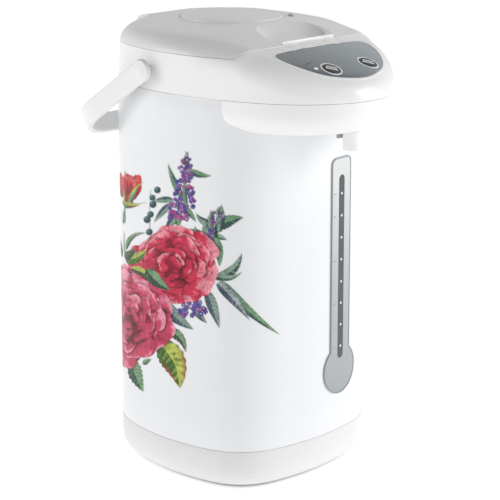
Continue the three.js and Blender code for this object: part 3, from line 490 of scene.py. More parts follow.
def bump(t, p, source, strength, distance):
    b = t.nodes.new("ShaderNodeBump")
    b.inputs["Strength"].default_value = strength
    b.inputs["Distance"].default_value = distance
    t.links.new(source, b.inputs["Height"])
    t.links.new(b.outputs["Normal"], p.inputs["Normal"])
    return b


def plastic(name, colour, rough=0.32, spread=0.05, vary=0.03, grain=1400.0, grain_mm=0.006, coat=0.0, sss=0.0):
    """Moulded plastic: faint tone drift, uneven gloss and a fine moulded grain."""
    m, t, p = nodes_of(name)
    big = noise(t, 9.0, 3.0)
    lo = tuple(max(0.0, c * (1 - vary)) for c in colour)
    hi = tuple(min(1.0, c * (1 + vary * 0.5)) for c in colour)
    r = ramp(t, big.outputs["Fac"], [(0.3, lo), (0.7, hi)])
    t.links.new(r.outputs["Color"], p.inputs["Base Color"])
    mid = noise(t, 45.0, 5.0)
    rr = to_range(t, mid.outputs["Fac"], rough - spread, rough + spread)
    t.links.new(rr.outputs["Result"], p.inputs["Roughness"])
    fine = noise(t, grain, 2.0)
    bump(t, p, fine.outputs["Fac"], 0.35, grain_mm * 0.001)
    p.inputs["IOR"].default_value = 1.49
    if coat:
        p.inputs["Coat Weight"].default_value = coat
        p.inputs["Coat Roughness"].default_value = 0.08
    if sss:
        p.inputs["Subsurface Weight"].default_value = sss
        p.inputs["Subsurface Radius"].default_value = (0.004, 0.004, 0.004)
        p.inputs["Subsurface Scale"].default_value = 1.0
    return m


def metal(name, colour, rough=0.28, stretch=(1, 1, 60), scale=60.0, mm=0.004, aniso=0.3):
    m, t, p = nodes_of(name)
    n = noise(t, scale, 6.0, 0.6, stretch=stretch)
    r = ramp(t, n.outputs["Fac"], [(0.25, tuple(c * 0.86 for c in colour)), (0.75, tuple(min(1, c * 1.06) for c in colour))])
    t.links.new(r.outputs["Color"], p.inputs["Base Color"])
    rr = to_range(t, n.outputs["Fac"], rough - 0.07, rough + 0.08)
    t.links.new(rr.outputs["Result"], p.inputs["Roughness"])
    p.inputs["Metallic"].default_value = 1.0
    p.inputs["Anisotropic"].default_value = aniso
    bump(t, p, n.outputs["Fac"], 0.25, mm * 0.001)
    return m


def rubber(name, colour, rough=0.75, mm=0.02):
    m, t, p = nodes_of(name)
    n = noise(t, 500.0, 6.0, 0.7)
    big = noise(t, 30.0, 4.0)
    r = ramp(t, big.outputs["Fac"], [(0.3, tuple(c * 0.85 for c in colour)), (0.7, tuple(min(1, c * 1.12) for c in colour))])
    t.links.new(r.outputs["Color"], p.inputs["Base Color"])
    rr = to_range(t, n.outputs["Fac"], rough - 0.1, rough + 0.12)
    t.links.new(rr.outputs["Result"], p.inputs["Roughness"])
    bump(t, p, n.outputs["Fac"], 0.5, mm * 0.001)
    return m


HEAD_WHITE = (0.935, 0.935, 0.93)
white = plastic("white_plastic", HEAD_WHITE, rough=0.3, spread=0.04, vary=0.012, coat=0.15)
# the lid and pump cap take a greyer copy of the head's white: painted shade on the top, which faces away from the side
# lights
lid_white_painted_shade = plastic("lid_white_plastic", (0.85, 0.85, 0.847), rough=0.34, spread=0.04, vary=0.012, coat=0.1)
# the base takes a greyer copy of the white: painted shade on the base ring, which keeps it dark against the floor's
# glow
base_white_painted_shade = plastic("base_white_plastic", (0.835, 0.835, 0.832), rough=0.36, spread=0.05, vary=0.015)
handle_white = plastic("handle_white_plastic", (0.9, 0.9, 0.895), rough=0.36, spread=0.05, vary=0.015)
rim_white = plastic("rim_white_plastic", (0.93, 0.93, 0.93), rough=0.22, spread=0.03, vary=0.01)
grey = plastic("grey_plastic", (0.42, 0.43, 0.44), rough=0.45, vary=0.06)
dark = plastic("dark_plastic", (0.05, 0.055, 0.06), rough=0.4, vary=0.12)
pump_white = plastic("pump_plastic", (0.74, 0.73, 0.69), rough=0.48, vary=0.05)
liner_white = plastic("liner_plastic", (0.8, 0.8, 0.79), rough=0.4, vary=0.03)
steel = metal("stainless_steel", (0.62, 0.625, 0.63), 0.24)
spun = metal("spun_steel", (0.6, 0.605, 0.61), 0.2, stretch=(1, 1, 90), scale=40.0)
satin = metal("satin_steel", (0.7, 0.705, 0.71), 0.46, stretch=(1, 1, 70), scale=40.0)
satin.node_tree.nodes["Principled BSDF"].inputs["Metallic"].default_value = 0.5
alu = metal("cast_aluminium", (0.55, 0.55, 0.54), 0.42, stretch=(1, 1, 1), scale=350.0, mm=0.03, aniso=0.0)
brass = metal("brass_pin", (0.72, 0.55, 0.26), 0.25, stretch=(1, 30, 1), scale=120.0)
black_rubber = rubber("black_rubber", (0.03, 0.03, 0.032))
silicone = rubber("silicone", (0.72, 0.71, 0.68), 0.5, 0.008)


def panel_material():
    """Screen-printed grey film with painted shade and light: darker at the left end, lighter at the right, with satin
    grain and faint metallic fleck.
    """
    m, t, p = nodes_of("panel_grey")
    c = t.nodes.new("ShaderNodeTexCoord")
    s = t.nodes.new("ShaderNodeSeparateXYZ")
    t.links.new(c.outputs["Object"], s.inputs["Vector"])
    # painted shade and light across the panel: the tone runs from dark at the left end to light at the right
    mr = t.nodes.new("ShaderNodeMapRange")
    mr.inputs["From Min"].default_value = -0.055
    mr.inputs["From Max"].default_value = 0.055
    t.links.new(s.outputs["X"], mr.inputs["Value"])
    n = noise(t, 60.0, 4.0)
    mix = t.nodes.new("ShaderNodeMath")
    mix.operation = "MULTIPLY_ADD"
    t.links.new(n.outputs["Fac"], mix.inputs[0])
    mix.inputs[1].default_value = 0.16
    t.links.new(mr.outputs["Result"], mix.inputs[2])
    r = ramp(t, mix.outputs["Value"], [(0.0, (0.125, 0.15, 0.175)), (0.45, (0.2, 0.235, 0.262)), (1.0, (0.33, 0.372, 0.405))])
    t.links.new(r.outputs["Color"], p.inputs["Base Color"])
    g = noise(t, 2200.0, 2.0)
    rr = to_range(t, g.outputs["Fac"], 0.26, 0.4)
    t.links.new(rr.outputs["Result"], p.inputs["Roughness"])
    bump(t, p, g.outputs["Fac"], 0.3, 0.000008)
    p.inputs["Metallic"].default_value = 0.1
    p.inputs["Coat Weight"].default_value = 0.35
    p.inputs["Coat Roughness"].default_value = 0.12
    return m


def paint_material():
    """Gloss enamel on the steel jacket: cool white with a very slight orange-peel ripple."""
    m, t, p = nodes_of("painted_steel")
    big = noise(t, 7.0, 3.0)
    r = ramp(t, big.outputs["Fac"], [(0.3, (0.85, 0.863, 0.887)), (0.7, (0.872, 0.883, 0.902))])
    t.links.new(r.outputs["Color"], p.inputs["Base Color"])
    mid = noise(t, 60.0, 4.0)
    rr = to_range(t, mid.outputs["Fac"], 0.27, 0.32)
    t.links.new(rr.outputs["Result"], p.inputs["Roughness"])
    peel = noise(t, 900.0, 2.0)
    bump(t, p, peel.outputs["Fac"], 0.2, 0.000004)
    p.inputs["Coat Weight"].default_value = 0.2
    p.inputs["Coat Roughness"].default_value = 0.12
    return m


def print_material():
    """Printed flowers: the pattern's own tones with a washed, uneven ink density over them."""
    m, t, p = nodes_of("flower_print")
    a = t.nodes.new("ShaderNodeAttribute")
    a.attribute_name = "ink"
    wash = noise(t, 130.0, 6.0, 0.65)
    blot = noise(t, 420.0, 5.0, 0.6)
    add = t.nodes.new("ShaderNodeMath")
    add.operation = "ADD"
    t.links.new(wash.outputs["Fac"], add.inputs[0])
    t.links.new(blot.outputs["Fac"], add.inputs[1])
    mr = t.nodes.new("ShaderNodeMapRange")
    mr.inputs["From Min"].default_value = 0.7
    mr.inputs["From Max"].default_value = 1.3
    mr.inputs["To Min"].default_value = 0.62
    mr.inputs["To Max"].default_value = 1.32
    t.links.new(add.outputs["Value"], mr.inputs["Value"])
    mul = t.nodes.new("ShaderNodeVectorMath")
    mul.operation = "SCALE"
    t.links.new(a.outputs["Color"], mul.inputs[0])
    t.links.new(mr.outputs["Result"], mul.inputs["Scale"])
    edge = t.nodes.new("ShaderNodeMix")
    edge.data_type = "RGBA"
    t.links.new(a.outputs["Alpha"], edge.inputs["Factor"])
    edge.inputs[6].default_value = (0.86, 0.873, 0.894, 1)
    t.links.new(mul.outputs["Vector"], edge.inputs[7])
    t.links.new(edge.outputs[2], p.inputs["Base Color"])
    rr = to_range(t, blot.outputs["Fac"], 0.26, 0.4)
    t.links.new(rr.outputs["Result"], p.inputs["Roughness"])
    p.inputs["Specular IOR Level"].default_value = 0.22
    p.inputs["Coat Weight"].default_value = 0.05
    p.inputs["Coat Roughness"].default_value = 0.1
    return m


def gauge_material():
    m, t, p = nodes_of("gauge_silver")
    c = t.nodes.new("ShaderNodeTexCoord")
    s = t.nodes.new("ShaderNodeSeparateXYZ")
    t.links.new(c.outputs["Object"], s.inputs["Vector"])
    mr = t.nodes.new("ShaderNodeMapRange")
    mr.inputs["From Min"].default_value = 0.068
    mr.inputs["From Max"].default_value = 0.266
    t.links.new(s.outputs["Z"], mr.inputs["Value"])
    n = noise(t, 200.0, 5.0, stretch=(1, 1, 0.15))
    mix = t.nodes.new("ShaderNodeMath")
    mix.operation = "MULTIPLY_ADD"
    t.links.new(n.outputs["Fac"], mix.inputs[0])
    mix.inputs[1].default_value = 0.12
    t.links.new(mr.outputs["Result"], mix.inputs[2])
    r = ramp(t, mix.outputs["Value"], [(0.0, (0.36, 0.385, 0.40)), (0.15, (0.40, 0.425, 0.44)), (0.6, (0.5, 0.52, 0.535)), (1.0, (0.68, 0.7, 0.7))])
    t.links.new(r.outputs["Color"], p.inputs["Base Color"])
    rr = to_range(t, n.outputs["Fac"], 0.28, 0.42)
    t.links.new(rr.outputs["Result"], p.inputs["Roughness"])
    p.inputs["Metallic"].default_value = 0.25
    bump(t, p, n.outputs["Fac"], 0.15, 0.00001)
    return m


def window_material():
    m, t, p = nodes_of("gauge_window")
    n = noise(t, 90.0, 5.0, stretch=(1, 1, 0.2))
    r = ramp(t, n.outputs["Fac"], [(0.3, (0.036, 0.04, 0.046)), (0.7, (0.06, 0.066, 0.073))])
    t.links.new(r.outputs["Color"], p.inputs["Base Color"])
    rr = to_range(t, n.outputs["Fac"], 0.1, 0.2)
    t.links.new(rr.outputs["Result"], p.inputs["Roughness"])
    p.inputs["Coat Weight"].default_value = 0.35
    p.inputs["Coat Roughness"].default_value = 0.05
    return m


def glass_material():
    m, t, p = nodes_of("sight_tube_glass")
    n = noise(t, 120.0, 4.0, stretch=(1, 1, 0.1))
    r = ramp(t, n.outputs["Fac"], [(0.3, (0.86, 0.92, 0.93)), (0.7, (0.95, 0.98, 0.98))])
    t.links.new(r.outputs["Color"], p.inputs["Base Color"])
    rr = to_range(t, n.outputs["Fac"], 0.03, 0.09)
    t.links.new(rr.outputs["Result"], p.inputs["Roughness"])
    p.inputs["Transmission Weight"].default_value = 0.9
    p.inputs["IOR"].default_value = 1.47
    return m


def circuit_material():
    m, t, p = nodes_of("circuit_board")
    b = t.nodes.new("ShaderNodeTexBrick")
    c = t.nodes.new("ShaderNodeTexCoord")
    t.links.new(c.outputs["Object"], b.inputs["Vector"])
    b.inputs["Scale"].default_value = 260.0
    b.inputs["Color1"].default_value = (0.02, 0.16, 0.08, 1)
    b.inputs["Color2"].default_value = (0.03, 0.22, 0.1, 1)
    b.inputs["Mortar"].default_value = (0.05, 0.3, 0.15, 1)
    t.links.new(b.outputs["Color"], p.inputs["Base Color"])
    rr = to_range(t, b.outputs["Fac"], 0.3, 0.5)
    t.links.new(rr.outputs["Result"], p.inputs["Roughness"])
    bump(t, p, b.outputs["Fac"], 0.3, 0.00003)
    return m


def mica_material():
    m, t, p = nodes_of("mica_band")
    w = t.nodes.new("ShaderNodeTexWave")
    c = t.nodes.new("ShaderNodeTexCoord")
    t.links.new(c.outputs["Object"], w.inputs["Vector"])
    w.bands_direction = "Z"
    w.inputs["Scale"].default_value = 260.0
    w.inputs["Distortion"].default_value = 1.2
    r = ramp(t, w.outputs["Fac"], [(0.2, (0.42, 0.36, 0.24)), (0.8, (0.66, 0.58, 0.42))])
    t.links.new(r.outputs["Color"], p.inputs["Base Color"])
    rr = to_range(t, w.outputs["Fac"], 0.5, 0.75)
    t.links.new(rr.outputs["Result"], p.inputs["Roughness"])
    bump(t, p, w.outputs["Fac"], 0.5, 0.0001)
    return m


def led_material():
    m, t, p = nodes_of("led_lens")
    n = noise(t, 900.0, 4.0)
    r = ramp(t, n.outputs["Fac"], [(0.3, (0.72, 0.76, 0.74)), (0.7, (0.86, 0.89, 0.87))])
    t.links.new(r.outputs["Color"], p.inputs["Base Color"])
    rr = to_range(t, n.outputs["Fac"], 0.12, 0.25)
    t.links.new(rr.outputs["Result"], p.inputs["Roughness"])
    p.inputs["Transmission Weight"].default_value = 0.1
    t.links.new(r.outputs["Color"], p.inputs["Emission Color"])
    p.inputs["Emission Strength"].default_value = 0.35
    return m


grey_edge = plastic("gauge_edge_grey", (0.3, 0.32, 0.335), rough=0.35, vary=0.05)
panel_grey, paint, ink, silver, window, glass, circuit, mica, led = (
    panel_material(), paint_material(), print_material(), gauge_material(), window_material(), glass_material(), circuit_material(), mica_material(), led_material())

# ------------------------------------------------------------------ jacket
section = [(0.5, 35.5), (0.15, 35.62), (0.0, 36.0)]
section += [(0.0, z) for z in np.linspace(60, 318, 12)] + [(0.0, 329.7), (0.15, 330.05), (0.5, 330.2), (0.9, 330.2), (0.9, 36.0), (0.9, 35.5)]
jacket = ring_section(section, lambda phi, z: body_r(phi, z))
piece(jacket, "jacket_shell", "pot", paint, ["outer_jacket"])

# ------------------------------------------------------------------ base ring
lower = []
for psi in np.radians(np.linspace(0, 90, 14)):
    lower.append((BASE_INSET * (1 - math.cos(psi)), BASE_ROUND - (BASE_ROUND - Z_FLOOR_GAP) * math.sin(psi)))
outer = [(-0.25 + 0.55, 35.2), (-0.25 + 0.18, 35.05), (-0.25, 34.6)] + [(-0.25 + e, z) for e, z in lower]
inner = [(17.0, 2.2), (17.2, 2.4), (17.2, 4.4), (17.0, 4.6), (15.5, 4.6), (11.0, 6.4), (6.4, 10.5), (3.4, 16.0), (2.4, 20.0), (2.3, 38.0), (1.0, 38.0), (1.0, 35.45)]
ring = ring_section(outer + inner, lambda phi, z: body_r(phi, Z_BASE_TOP) + 0 * z)
ring = cut(ring, box(-16.3, 16.3, 70, 110, 10.7, 29.3))
piece(ring, "base_shell", "pot", base_white_painted_shade, ["base_ring"])

# ------------------------------------------------------------------ head collar with the deck
collar = cut(head(0, Z_HEAD), head(SHELL_T + 0.2, 300))
ledge = common(head(0.5, Z_HEAD), prism([(-130, -82), (130, -82), (130, 130), (-130, 130)], Z_SEAT - 2.4, Z_SEAT))
throat = lathe(rounded([(THROAT_R, 321.8), (POT_R + 3.4, 321.8), (POT_R + 3.4, 323.8), (THROAT_R + 2.2, 323.8), (THROAT_R + 2.2, Z_SEAT - 0.4), (THROAT_R, Z_SEAT - 0.4)], 0.5), seg=160)
collar = join(collar, ledge, throat)
wall = cut(lid_region(3.2, Z_SEAT - 2.4), lid_region(0.15, 300))
wall = common(wall, head(0.5, Z_HEAD), prism([(-84, -90), (84, -90), (84, -60), (-84, -60)], 300, 400))
collar = join(collar, wall)
collar = cut(collar, lid_region(0.15, Z_LID - 0.3))
bore = common(cyl(THROAT_R, 300, 420, seg=160), prism([(-130, -78.8), (130, -78.8), (130, 130), (-130, 130)], 300, Z_SEAT + 0.2))
collar = cut(collar, bore)
rim = common(cut(panel_prism(1.75, 330, 400), panel_prism(0.3, 320, 410)), cut(head(-0.42, Z_HEAD), head(1.2, 300)))
collar = cut(collar, cut(panel_prism(0.3, 330, 400), head(1.6, 300)))


def oval_tool(r, half, x):
    o = loft([circle(r, z, 0, 0, 64, r * BUTTON_LONG) for z in (-half, half)])
    return tilted(o, rx=math.radians(DECK_TILT), at=(x, BUTTON_Y, BUTTON_Z))


for s in (-1, 1):
    collar = cut(collar, oval_tool(BUTTON_R + 0.5, 10, s * BUTTON_X))
collar = cut(collar, cyl(2.3, 340, 370, -34, -116, seg=32))
collar = cut(collar, box(-BLOCK_W - 0.4, BLOCK_W + 0.4, 86, 110, 358.4, 400))
for s in (-1, 1):
    x0 = BLOCK_W + 0.4 if s > 0 else -BLOCK_W - 5.4
    ear = join(box(x0, x0 + 5, 88, HINGE_Y, 346, HINGE_Z), cyl_x(5.4, x0, x0 + 5, HINGE_Y, HINGE_Z, 64), box(x0, x0 + 5, 90, HINGE_Y + 5.38, 352, HINGE_Z))
    ear = cut(ear, tilted(box(-15, 15, -7, 7, -13, 13), rx=math.radians(-28), at=(x0, HINGE_Y + 4.8, 346)), box(-200, 200, 80, 92, Z_LID - 0.3, 400))
    collar = join(collar, bevel(ear, 0.5, 3))
collar = cut(collar, cyl_x(PIN_R + 0.05, -40, 40, HINGE_Y, HINGE_Z, 32))
for s in (-1, 1):
    collar = cut(collar, cyl_x(6.1, 86.2 if s > 0 else -88.8, 88.8 if s > 0 else -86.2, PIVOT_Y, PIVOT_Z, 32))
    collar = cut(collar, cyl_x(3.3, 88 if s > 0 else -100, 100 if s > 0 else -88, PIVOT_Y, PIVOT_Z, 32))
piece(collar, "head_shell", "pot", white, ["head_collar"])
piece(rim, "panel_rim", "pot", rim_white)

# ------------------------------------------------------------------ lower half of the beak
def low_head(e, z_top):
    b, a = 20 - e, 22 - e
    rows = []
    for psi in np.radians(np.linspace(90, 0, 14)):
        r = head_r(PHI) - e - a * (1 - np.cos(psi))
        rows.append(np.stack([r * np.cos(PHI), r * np.sin(PHI), np.full(SEG, Z_BEAK_BOTTOM + 20 - b * math.sin(psi))], -1))
    r = head_r(PHI) - e
    rows.append(np.stack([r * np.cos(PHI), r * np.sin(PHI), np.full(SEG, float(z_top))], -1))
    return loft(rows)


beak = cut(low_head(0, Z_HEAD - 0.3), low_head(SHELL_T, 360))
beak = cut(beak, body_prism(-0.4, 280, 340))
side = smooth_curve([(-62.5, 345), (-62.5, 330), (-62.6, 322), (-64.0, 314), (-69.0, 306.5), (-78.0, 302.0), (-92, 300)], 60, closed=False)
keep = along_x([(-160, 290), (-160, 345)] + [(y, z) for y, z in side] + [(-92, 290)], -130, 130)
beak = common(beak, keep)
beak = cut(beak, cyl(NOZZLE_R + 0.3, 290, 320, 0, NOZZLE_Y, 64), box(-8.4, 8.4, -117.6, -103.2, 290, 320))
for s in (-1, 1):
    beak = join(beak, box(min(s * 9.2, s * 12.2), max(s * 9.2, s * 12.2), LEVER_Y - 2.8, LEVER_Y + 2.4, 304, LEVER_Z + 2.8))
    beak = cut(beak, cyl_x(1.7, 8 if s > 0 else -13, 13 if s > 0 else -8, LEVER_Y, LEVER_Z, 24))
piece(beak, "beak_shell", "pot", white, ["beak_lower"])

# ------------------------------------------------------------------ lid
lid = common(head(0, Z_HEAD), lid_region(-0.15, Z_LID))
lid = cut(lid, common(head(DECK_T, 300), lid_region(-DECK_T + 0.4, 300)))
lid = cut(lid, cut(lid_region(0.5, 355), lid_region(-1.25, 350), head(0.75, 300)))
lid = join(lid, common(cyl(DISC_R + 2.6, 362.8, 383, 0, DISC_Y, 128), head(0.6, Z_HEAD)))
SCOOP = [(0, -35.2), (9, -35.8), (18, -38.4), (26, -43), (31.5, -50), (34, -59), (33.6, -68), (31.5, -72.6), (28, -74.2)]
half = smooth_curve([(-9, -35.8)] + SCOOP, 90, closed=False)
half = [(x, y) for x, y in half if x > 0.3]
outline = [(0.0, -35.2)] + half + [(20, -74.2), (10, -74.2), (0, -74.2)]
outline = outline + [(-x, y) for x, y in outline[1:-1][::-1]]
floor_y = table([-100, -80, -64, -54, -44, -36, -30], [365.3, 365.4, 366.6, 369.6, 374.6, 380.2, 384.0])


def scoop_tool(grow=0.0, drop=0.0, top=430.0):
    p = np.array(outline, float)
    c = np.array([0.0, -58.0])
    d = p - c
    l = np.linalg.norm(d, axis=1)[:, None]
    p = c + d * (l + grow) / l
    p[:, 1] = np.minimum(p[:, 1], -33.4)
    rows = []
    for q in (0.02, 0.12, 0.24, 0.36, 0.48, 0.6, 0.7, 0.78, 0.84, 0.89, 0.93, 0.96, 0.98, 0.992, 1.0):
        xy = c + (p - c) * q
        edge = (1 - q) * l[:, 0]
        f = floor_y(xy[:, 1])
        depth = np.maximum(dome_z(xy[:, 0], xy[:, 1]) - f, 0)
        rise = np.clip(depth * 0.82, 0, 8) * np.clip((xy[:, 1] + 67) / 8, 0, 1)
        k = np.clip(1 - edge / 15, 0, 1)
        z = f + rise * k * k - drop
        rows.append(np.stack([xy[:, 0], xy[:, 1], z], -1))
    rows.append(np.stack([p[:, 0], p[:, 1], np.full(len(p), top)], -1))
    rows.append(np.stack([c[0] + (p[:, 0] - c[0]) * 0.05, c[1] + (p[:, 1] - c[1]) * 0.05, np.full(len(p), top)], -1))
    return loft(rows)


tray = cut(common(prism([tuple(q) for q in np.array(outline) * [1.07, 1.0] + [0, 0]], 362.8, 400), head(0.3, Z_HEAD)), scoop_tool(0, 0))
tray = cut(tray, cut(prism([(-60, -90), (60, -90), (60, -20), (-60, -20)], 300, 399), scoop_tool(2.6, 2.4)))
lid = join(lid, tray)
lid = cut(lid, cyl(DISC_R + 0.4, 340, 400, 0, DISC_Y, 128))
lid = cut(lid, scoop_tool())
lid = cut(lid, box(-30.2, 30.2, -76.8, -72, 362, 400), box(-30.2, 30.2, -76.8, -71.2, 360, 367))
block = smooth_curve([(78, 372), (80, 375.6), (83, 377.2), (90, 377), (97, 375.4), (101, 372), (102, 367), (101.2, 363.6), (98.4, 361.4), (95.6, 360.8), (91.4, 362.8), (84, 363), (80, 366)], 60)
lid = join(lid, bevel(along_x([tuple(q) for q in block], -BLOCK_W, BLOCK_W), 0.9, 3, 60))
lid = cut(lid, box(BLOCK_W, 60, 91.4, 110, 340, 400), box(-60, -BLOCK_W, 91.4, 110, 340, 400))
for s in (-1, 1):
    lid = cut(lid, cyl_x(6.1, BLOCK_W if s > 0 else -34, 34 if s > 0 else -BLOCK_W, HINGE_Y, HINGE_Z, 64))
lid = cut(lid, cyl_x(PIN_R + 0.05, -40, 40, HINGE_Y, HINGE_Z, 32))
la = math.radians(-41)


def lock_at(r, t):
    return (r * math.cos(la) - t * math.sin(la), DISC_Y + r * math.sin(la) + t * math.cos(la))


def lock_box(r0, r1, t0, t1, z0, z1):
    return prism([lock_at(r0, t0), lock_at(r1, t0), lock_at(r1, t1), lock_at(r0, t1)], z0, z1)


lid = cut(lid, lock_box(47.2, 51.2, -4, 10.4, 370, 400))
piece(lid, "lid_top", "lid", lid_white_painted_shade, ["lid_shell"])

# ------------------------------------------------------------------ latch, lock, pump disc
strip = along_x([(-76.5, 362.9), (-76.5, 370.9), (-76.2, 371.6), (-75.6, 371.9), (-74.3, 371.9), (-73.7, 371.6), (-73.4, 370.9), (-73.4, 367.8), (-71.2, 367.8), (-71.0, 367.6), (-71.0, 366.8), (-71.2, 366.6), (-73.4, 366.6), (-74.6, 366.4), (-74.6, 362.9)], -29.8, 29.8)
piece(bevel(strip, 0.25, 2, 60), "latch_strip", "latch", rim_white, ["lid_latch"])
lock_top = float(dome_z(*lock_at(49.2, 0)))
lock = join(lock_box(47.5, 50.9, -3.6, 3.6, lock_top - 5.2, lock_top + 1.3), lock_box(46.6, 52.2, -5.5, 5.5, lock_top - 6.0, lock_top - 4.2))
piece(bevel(lock, 0.4, 3), "lock_tab", "lock", grey, ["pump_lock"])

E = DISC_EDGE_Z
crown = table([0, 14, 26, 36, 40.2, 41.0], [E + DISC_CROWN, E + DISC_CROWN - 0.45, E + DISC_CROWN - 1.65, E + DISC_CROWN - 3.2, E + 0.75, E + 0.62])
profile = [(0, E + DISC_CROWN)] + [(r, float(crown(r))) for r in np.linspace(2, 40.4, 22)]
profile += [(40.9, E + 0.75), (41.4, E + 0.95), (42.0, E + 0.9), (42.5, E + 0.5), (DISC_R, E - 0.2), (DISC_R, 366.3), (DISC_R - 0.3, 366), (DISC_R - 1.7, 366), (DISC_R - 2, 366.3), (DISC_R - 2, E - 2.8), (DISC_R - 2.3, E - 3.0), (0, E - 3.0)]
piece(lathe(profile, 0, DISC_Y, 192), "pump_cap_top", "pump_cap", lid_white_painted_shade, ["pump_disc"], 40)

# bellows and spring under the disc, which on the real pot shorten as it goes down
wave = []
for i in range(33):
    f = i / 32 * 4
    wave.append((34 + 4 * math.cos(2 * math.pi * f + math.pi), BELLOWS_Z0 + (BELLOWS_Z1 - BELLOWS_Z0) * i / 32))
fold = lathe(wave + [(r - 1.3, z) for r, z in wave[::-1]], 0, DISC_Y, 96)
piece(fold, "bellows_folds", "lid", silicone, ["bellows"], 60)
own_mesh(fold)


def coil(r, wire, turns, z0, z1, x, y, per=28, sides=10):
    rows = []
    n = turns * per
    for i in range(n + 1):
        a = 2 * math.pi * i / per
        c = np.array([r * math.cos(a), r * math.sin(a), 0])
        out, upv = np.array([math.cos(a), math.sin(a), 0]), np.array([0, 0, 1.0])
        lift = min(1.0, i / per, (n - i) / per) if turns > 2 else 1.0
        z = z0 + wire + (z1 - z0 - 2 * wire) * i / n
        rows.append([c + np.array([x, y, z]) + wire * (math.cos(t) * out + math.sin(t) * upv) for t in np.linspace(0, 2 * math.pi, sides, endpoint=False)])
    return loft(rows)


spring = coil(14, 0.9, 5, BELLOWS_Z0 + 0.2, BELLOWS_Z1 - 0.2, 0, DISC_Y)
piece(spring, "return_spring", "lid", steel, ["pump_spring"], 60)
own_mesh(spring)

# liner under the lid and the inside of the pot
liner = common(lid_region(-4.6, 300), head(7.2, 300), prism([(-130, -77.6), (130, -77.6), (130, 84), (-130, 84)], 355.4, 358.2))
liner = join(liner, lathe(rounded([(0, 336), (50, 336), (50, 357), (0, 357)], 1.6, 5), 0, DISC_Y, 128))
liner = cut(liner, cyl(47.4, 339, 380, 0, DISC_Y, 128), cyl(3.2, 300, 345, 0, DISC_Y, 48))
piece(bevel(liner, 0.5, 2), "liner_plate", "lid", liner_white, ["lid_liner"])
R, T = POT_R, POT_T
bowl = [(0, POT_Z0 + T), (R - 8, POT_Z0 + T), (R - 2.4, POT_Z0 + T + 2.4), (R, POT_Z0 + T + 8)]
bowl += [(R, z) for z in np.linspace(90, 300, 6)] + [(R, POT_Z1 - 0.4), (R + 0.4, POT_Z1), (R + 3.4, POT_Z1), (R + 3.4, POT_Z1 - 4), (R + 2.2, POT_Z1 - 4), (R + 2.2, POT_Z1 - T), (R + T, POT_Z1 - T), (R + T, POT_Z0 + 8), (R - 1.6, POT_Z0 + 2), (R - 7, POT_Z0), (0, POT_Z0)]
inner = cut(lathe(rounded(bowl, 1.6, 4), seg=160), cyl(4.2, 40, 60, 40, -45, 48))
piece(inner, "pot_liner_steel", "pot", satin, ["inner_pot"], 40)
gasket = lathe([(THROAT_R + 0.9, 350.8), (THROAT_R + 3.3, 350.8), (THROAT_R + 3.6, 351.4), (THROAT_R + 3.4, 353.6), (THROAT_R + 2.6, 354.9), (THROAT_R + 1.8, 355.2), (THROAT_R + 0.9, 354.9), (THROAT_R + 0.6, 353)], 0, 0, 160)
piece(gasket, "gasket_ring", "lid", silicone, ["lid_gasket"], 50)

# ------------------------------------------------------------------ nozzle and lever
N = NOZZLE_BOTTOM
nozzle = lathe(rounded([(4.6, N), (NOZZLE_R - 0.5, N), (NOZZLE_R, N + 0.5), (NOZZLE_R, 307.4), (NOZZLE_R + 0.9, 307.4), (NOZZLE_R + 0.9, 309.4), (6.2, 309.4), (6.2, 317), (3.6, 317), (3.6, 300), (4.6, 296)], 0.6, 4), 0, NOZZLE_Y, 96)
piece(nozzle, "spout", "pot", white, ["nozzle"])
lever = join(box(-7.8, 7.8, -117, -105, 303.2, 305), box(-7.8, 7.8, -117, -114.8, 296.4, 305), box(-7.8, 7.8, LEVER_Y - 1, LEVER_Y + 1, 303.2, LEVER_Z), cyl_x(1.6, -11.4, 11.4, LEVER_Y, LEVER_Z, 32))
piece(bevel(lever, 0.45, 3), "cup_press", "lever", grey, ["cup_lever"])

# ------------------------------------------------------------------ control panel
panel = cut(common(head(-0.1, Z_HEAD), panel_prism(0, 330, 400)), head(1.3, 300))
for s in (-1, 1):
    panel = cut(panel, oval_tool(BUTTON_R + 0.3, 10, s * BUTTON_X))
panel = cut(panel, cyl(2.0, 340, 370, -34, -116, seg=32))
piece(panel, "panel_film", "pot", panel_grey, ["control_panel"])
tilt = math.radians(DECK_TILT)
for s, side_name in ((-1, "left"), (1, "right")):
    r = BUTTON_R
    cap = lathe(rounded([(0, -8.2), (2.6, -8.2), (2.6, -3.2), (r, -3.2), (r, 0.35), (r - 0.8, 0.95), (0, 1.2)], 0.35, 4), 0, 0, 96, squash_y=1.0)
    top = cap.data
    for v in top.vertices:
        if v.co.z > -0.0035:
            v.co.y *= BUTTON_LONG
    cap = tilted(cap, rx=tilt, at=(s * BUTTON_X, BUTTON_Y, BUTTON_Z))
    piece(cap, "key_" + side_name, "button_" + side_name, dark, ["button_" + side_name])
    bars = []
    for k, (off, length) in enumerate(((1.55, 4.4), (-1.55, 5.0))):
        a = math.radians(-40)
        cx, cy = -math.sin(a) * off, math.cos(a) * off
        bar = prism([(-length, -0.55), (-length + 0.5, -0.7), (length - 0.5, -0.7), (length, -0.55), (length, 0.55), (length - 0.5, 0.7), (-length + 0.5, 0.7), (-length, 0.55)], 0.9, 1.33)
        bar = tilted(tilted(bar, rz=a, at=(cx, cy, 0)), rx=tilt, at=(s * BUTTON_X, BUTTON_Y, BUTTON_Z))
        piece(bar, "key_bar_%s_%d" % (side_name, k + 1), "button_" + side_name, rim_white)
    bezel = cut(oval_tool(BUTTON_R + 1.35, 10, s * BUTTON_X), oval_tool(BUTTON_R + 0.25, 12, s * BUTTON_X))
    bezel = common(bezel, cut(head(-0.5, Z_HEAD), head(0.2, 300)))
    piece(bezel, "key_ring_" + side_name, "pot", rim_white)
lens_top = float(dome_z(-34, -116))
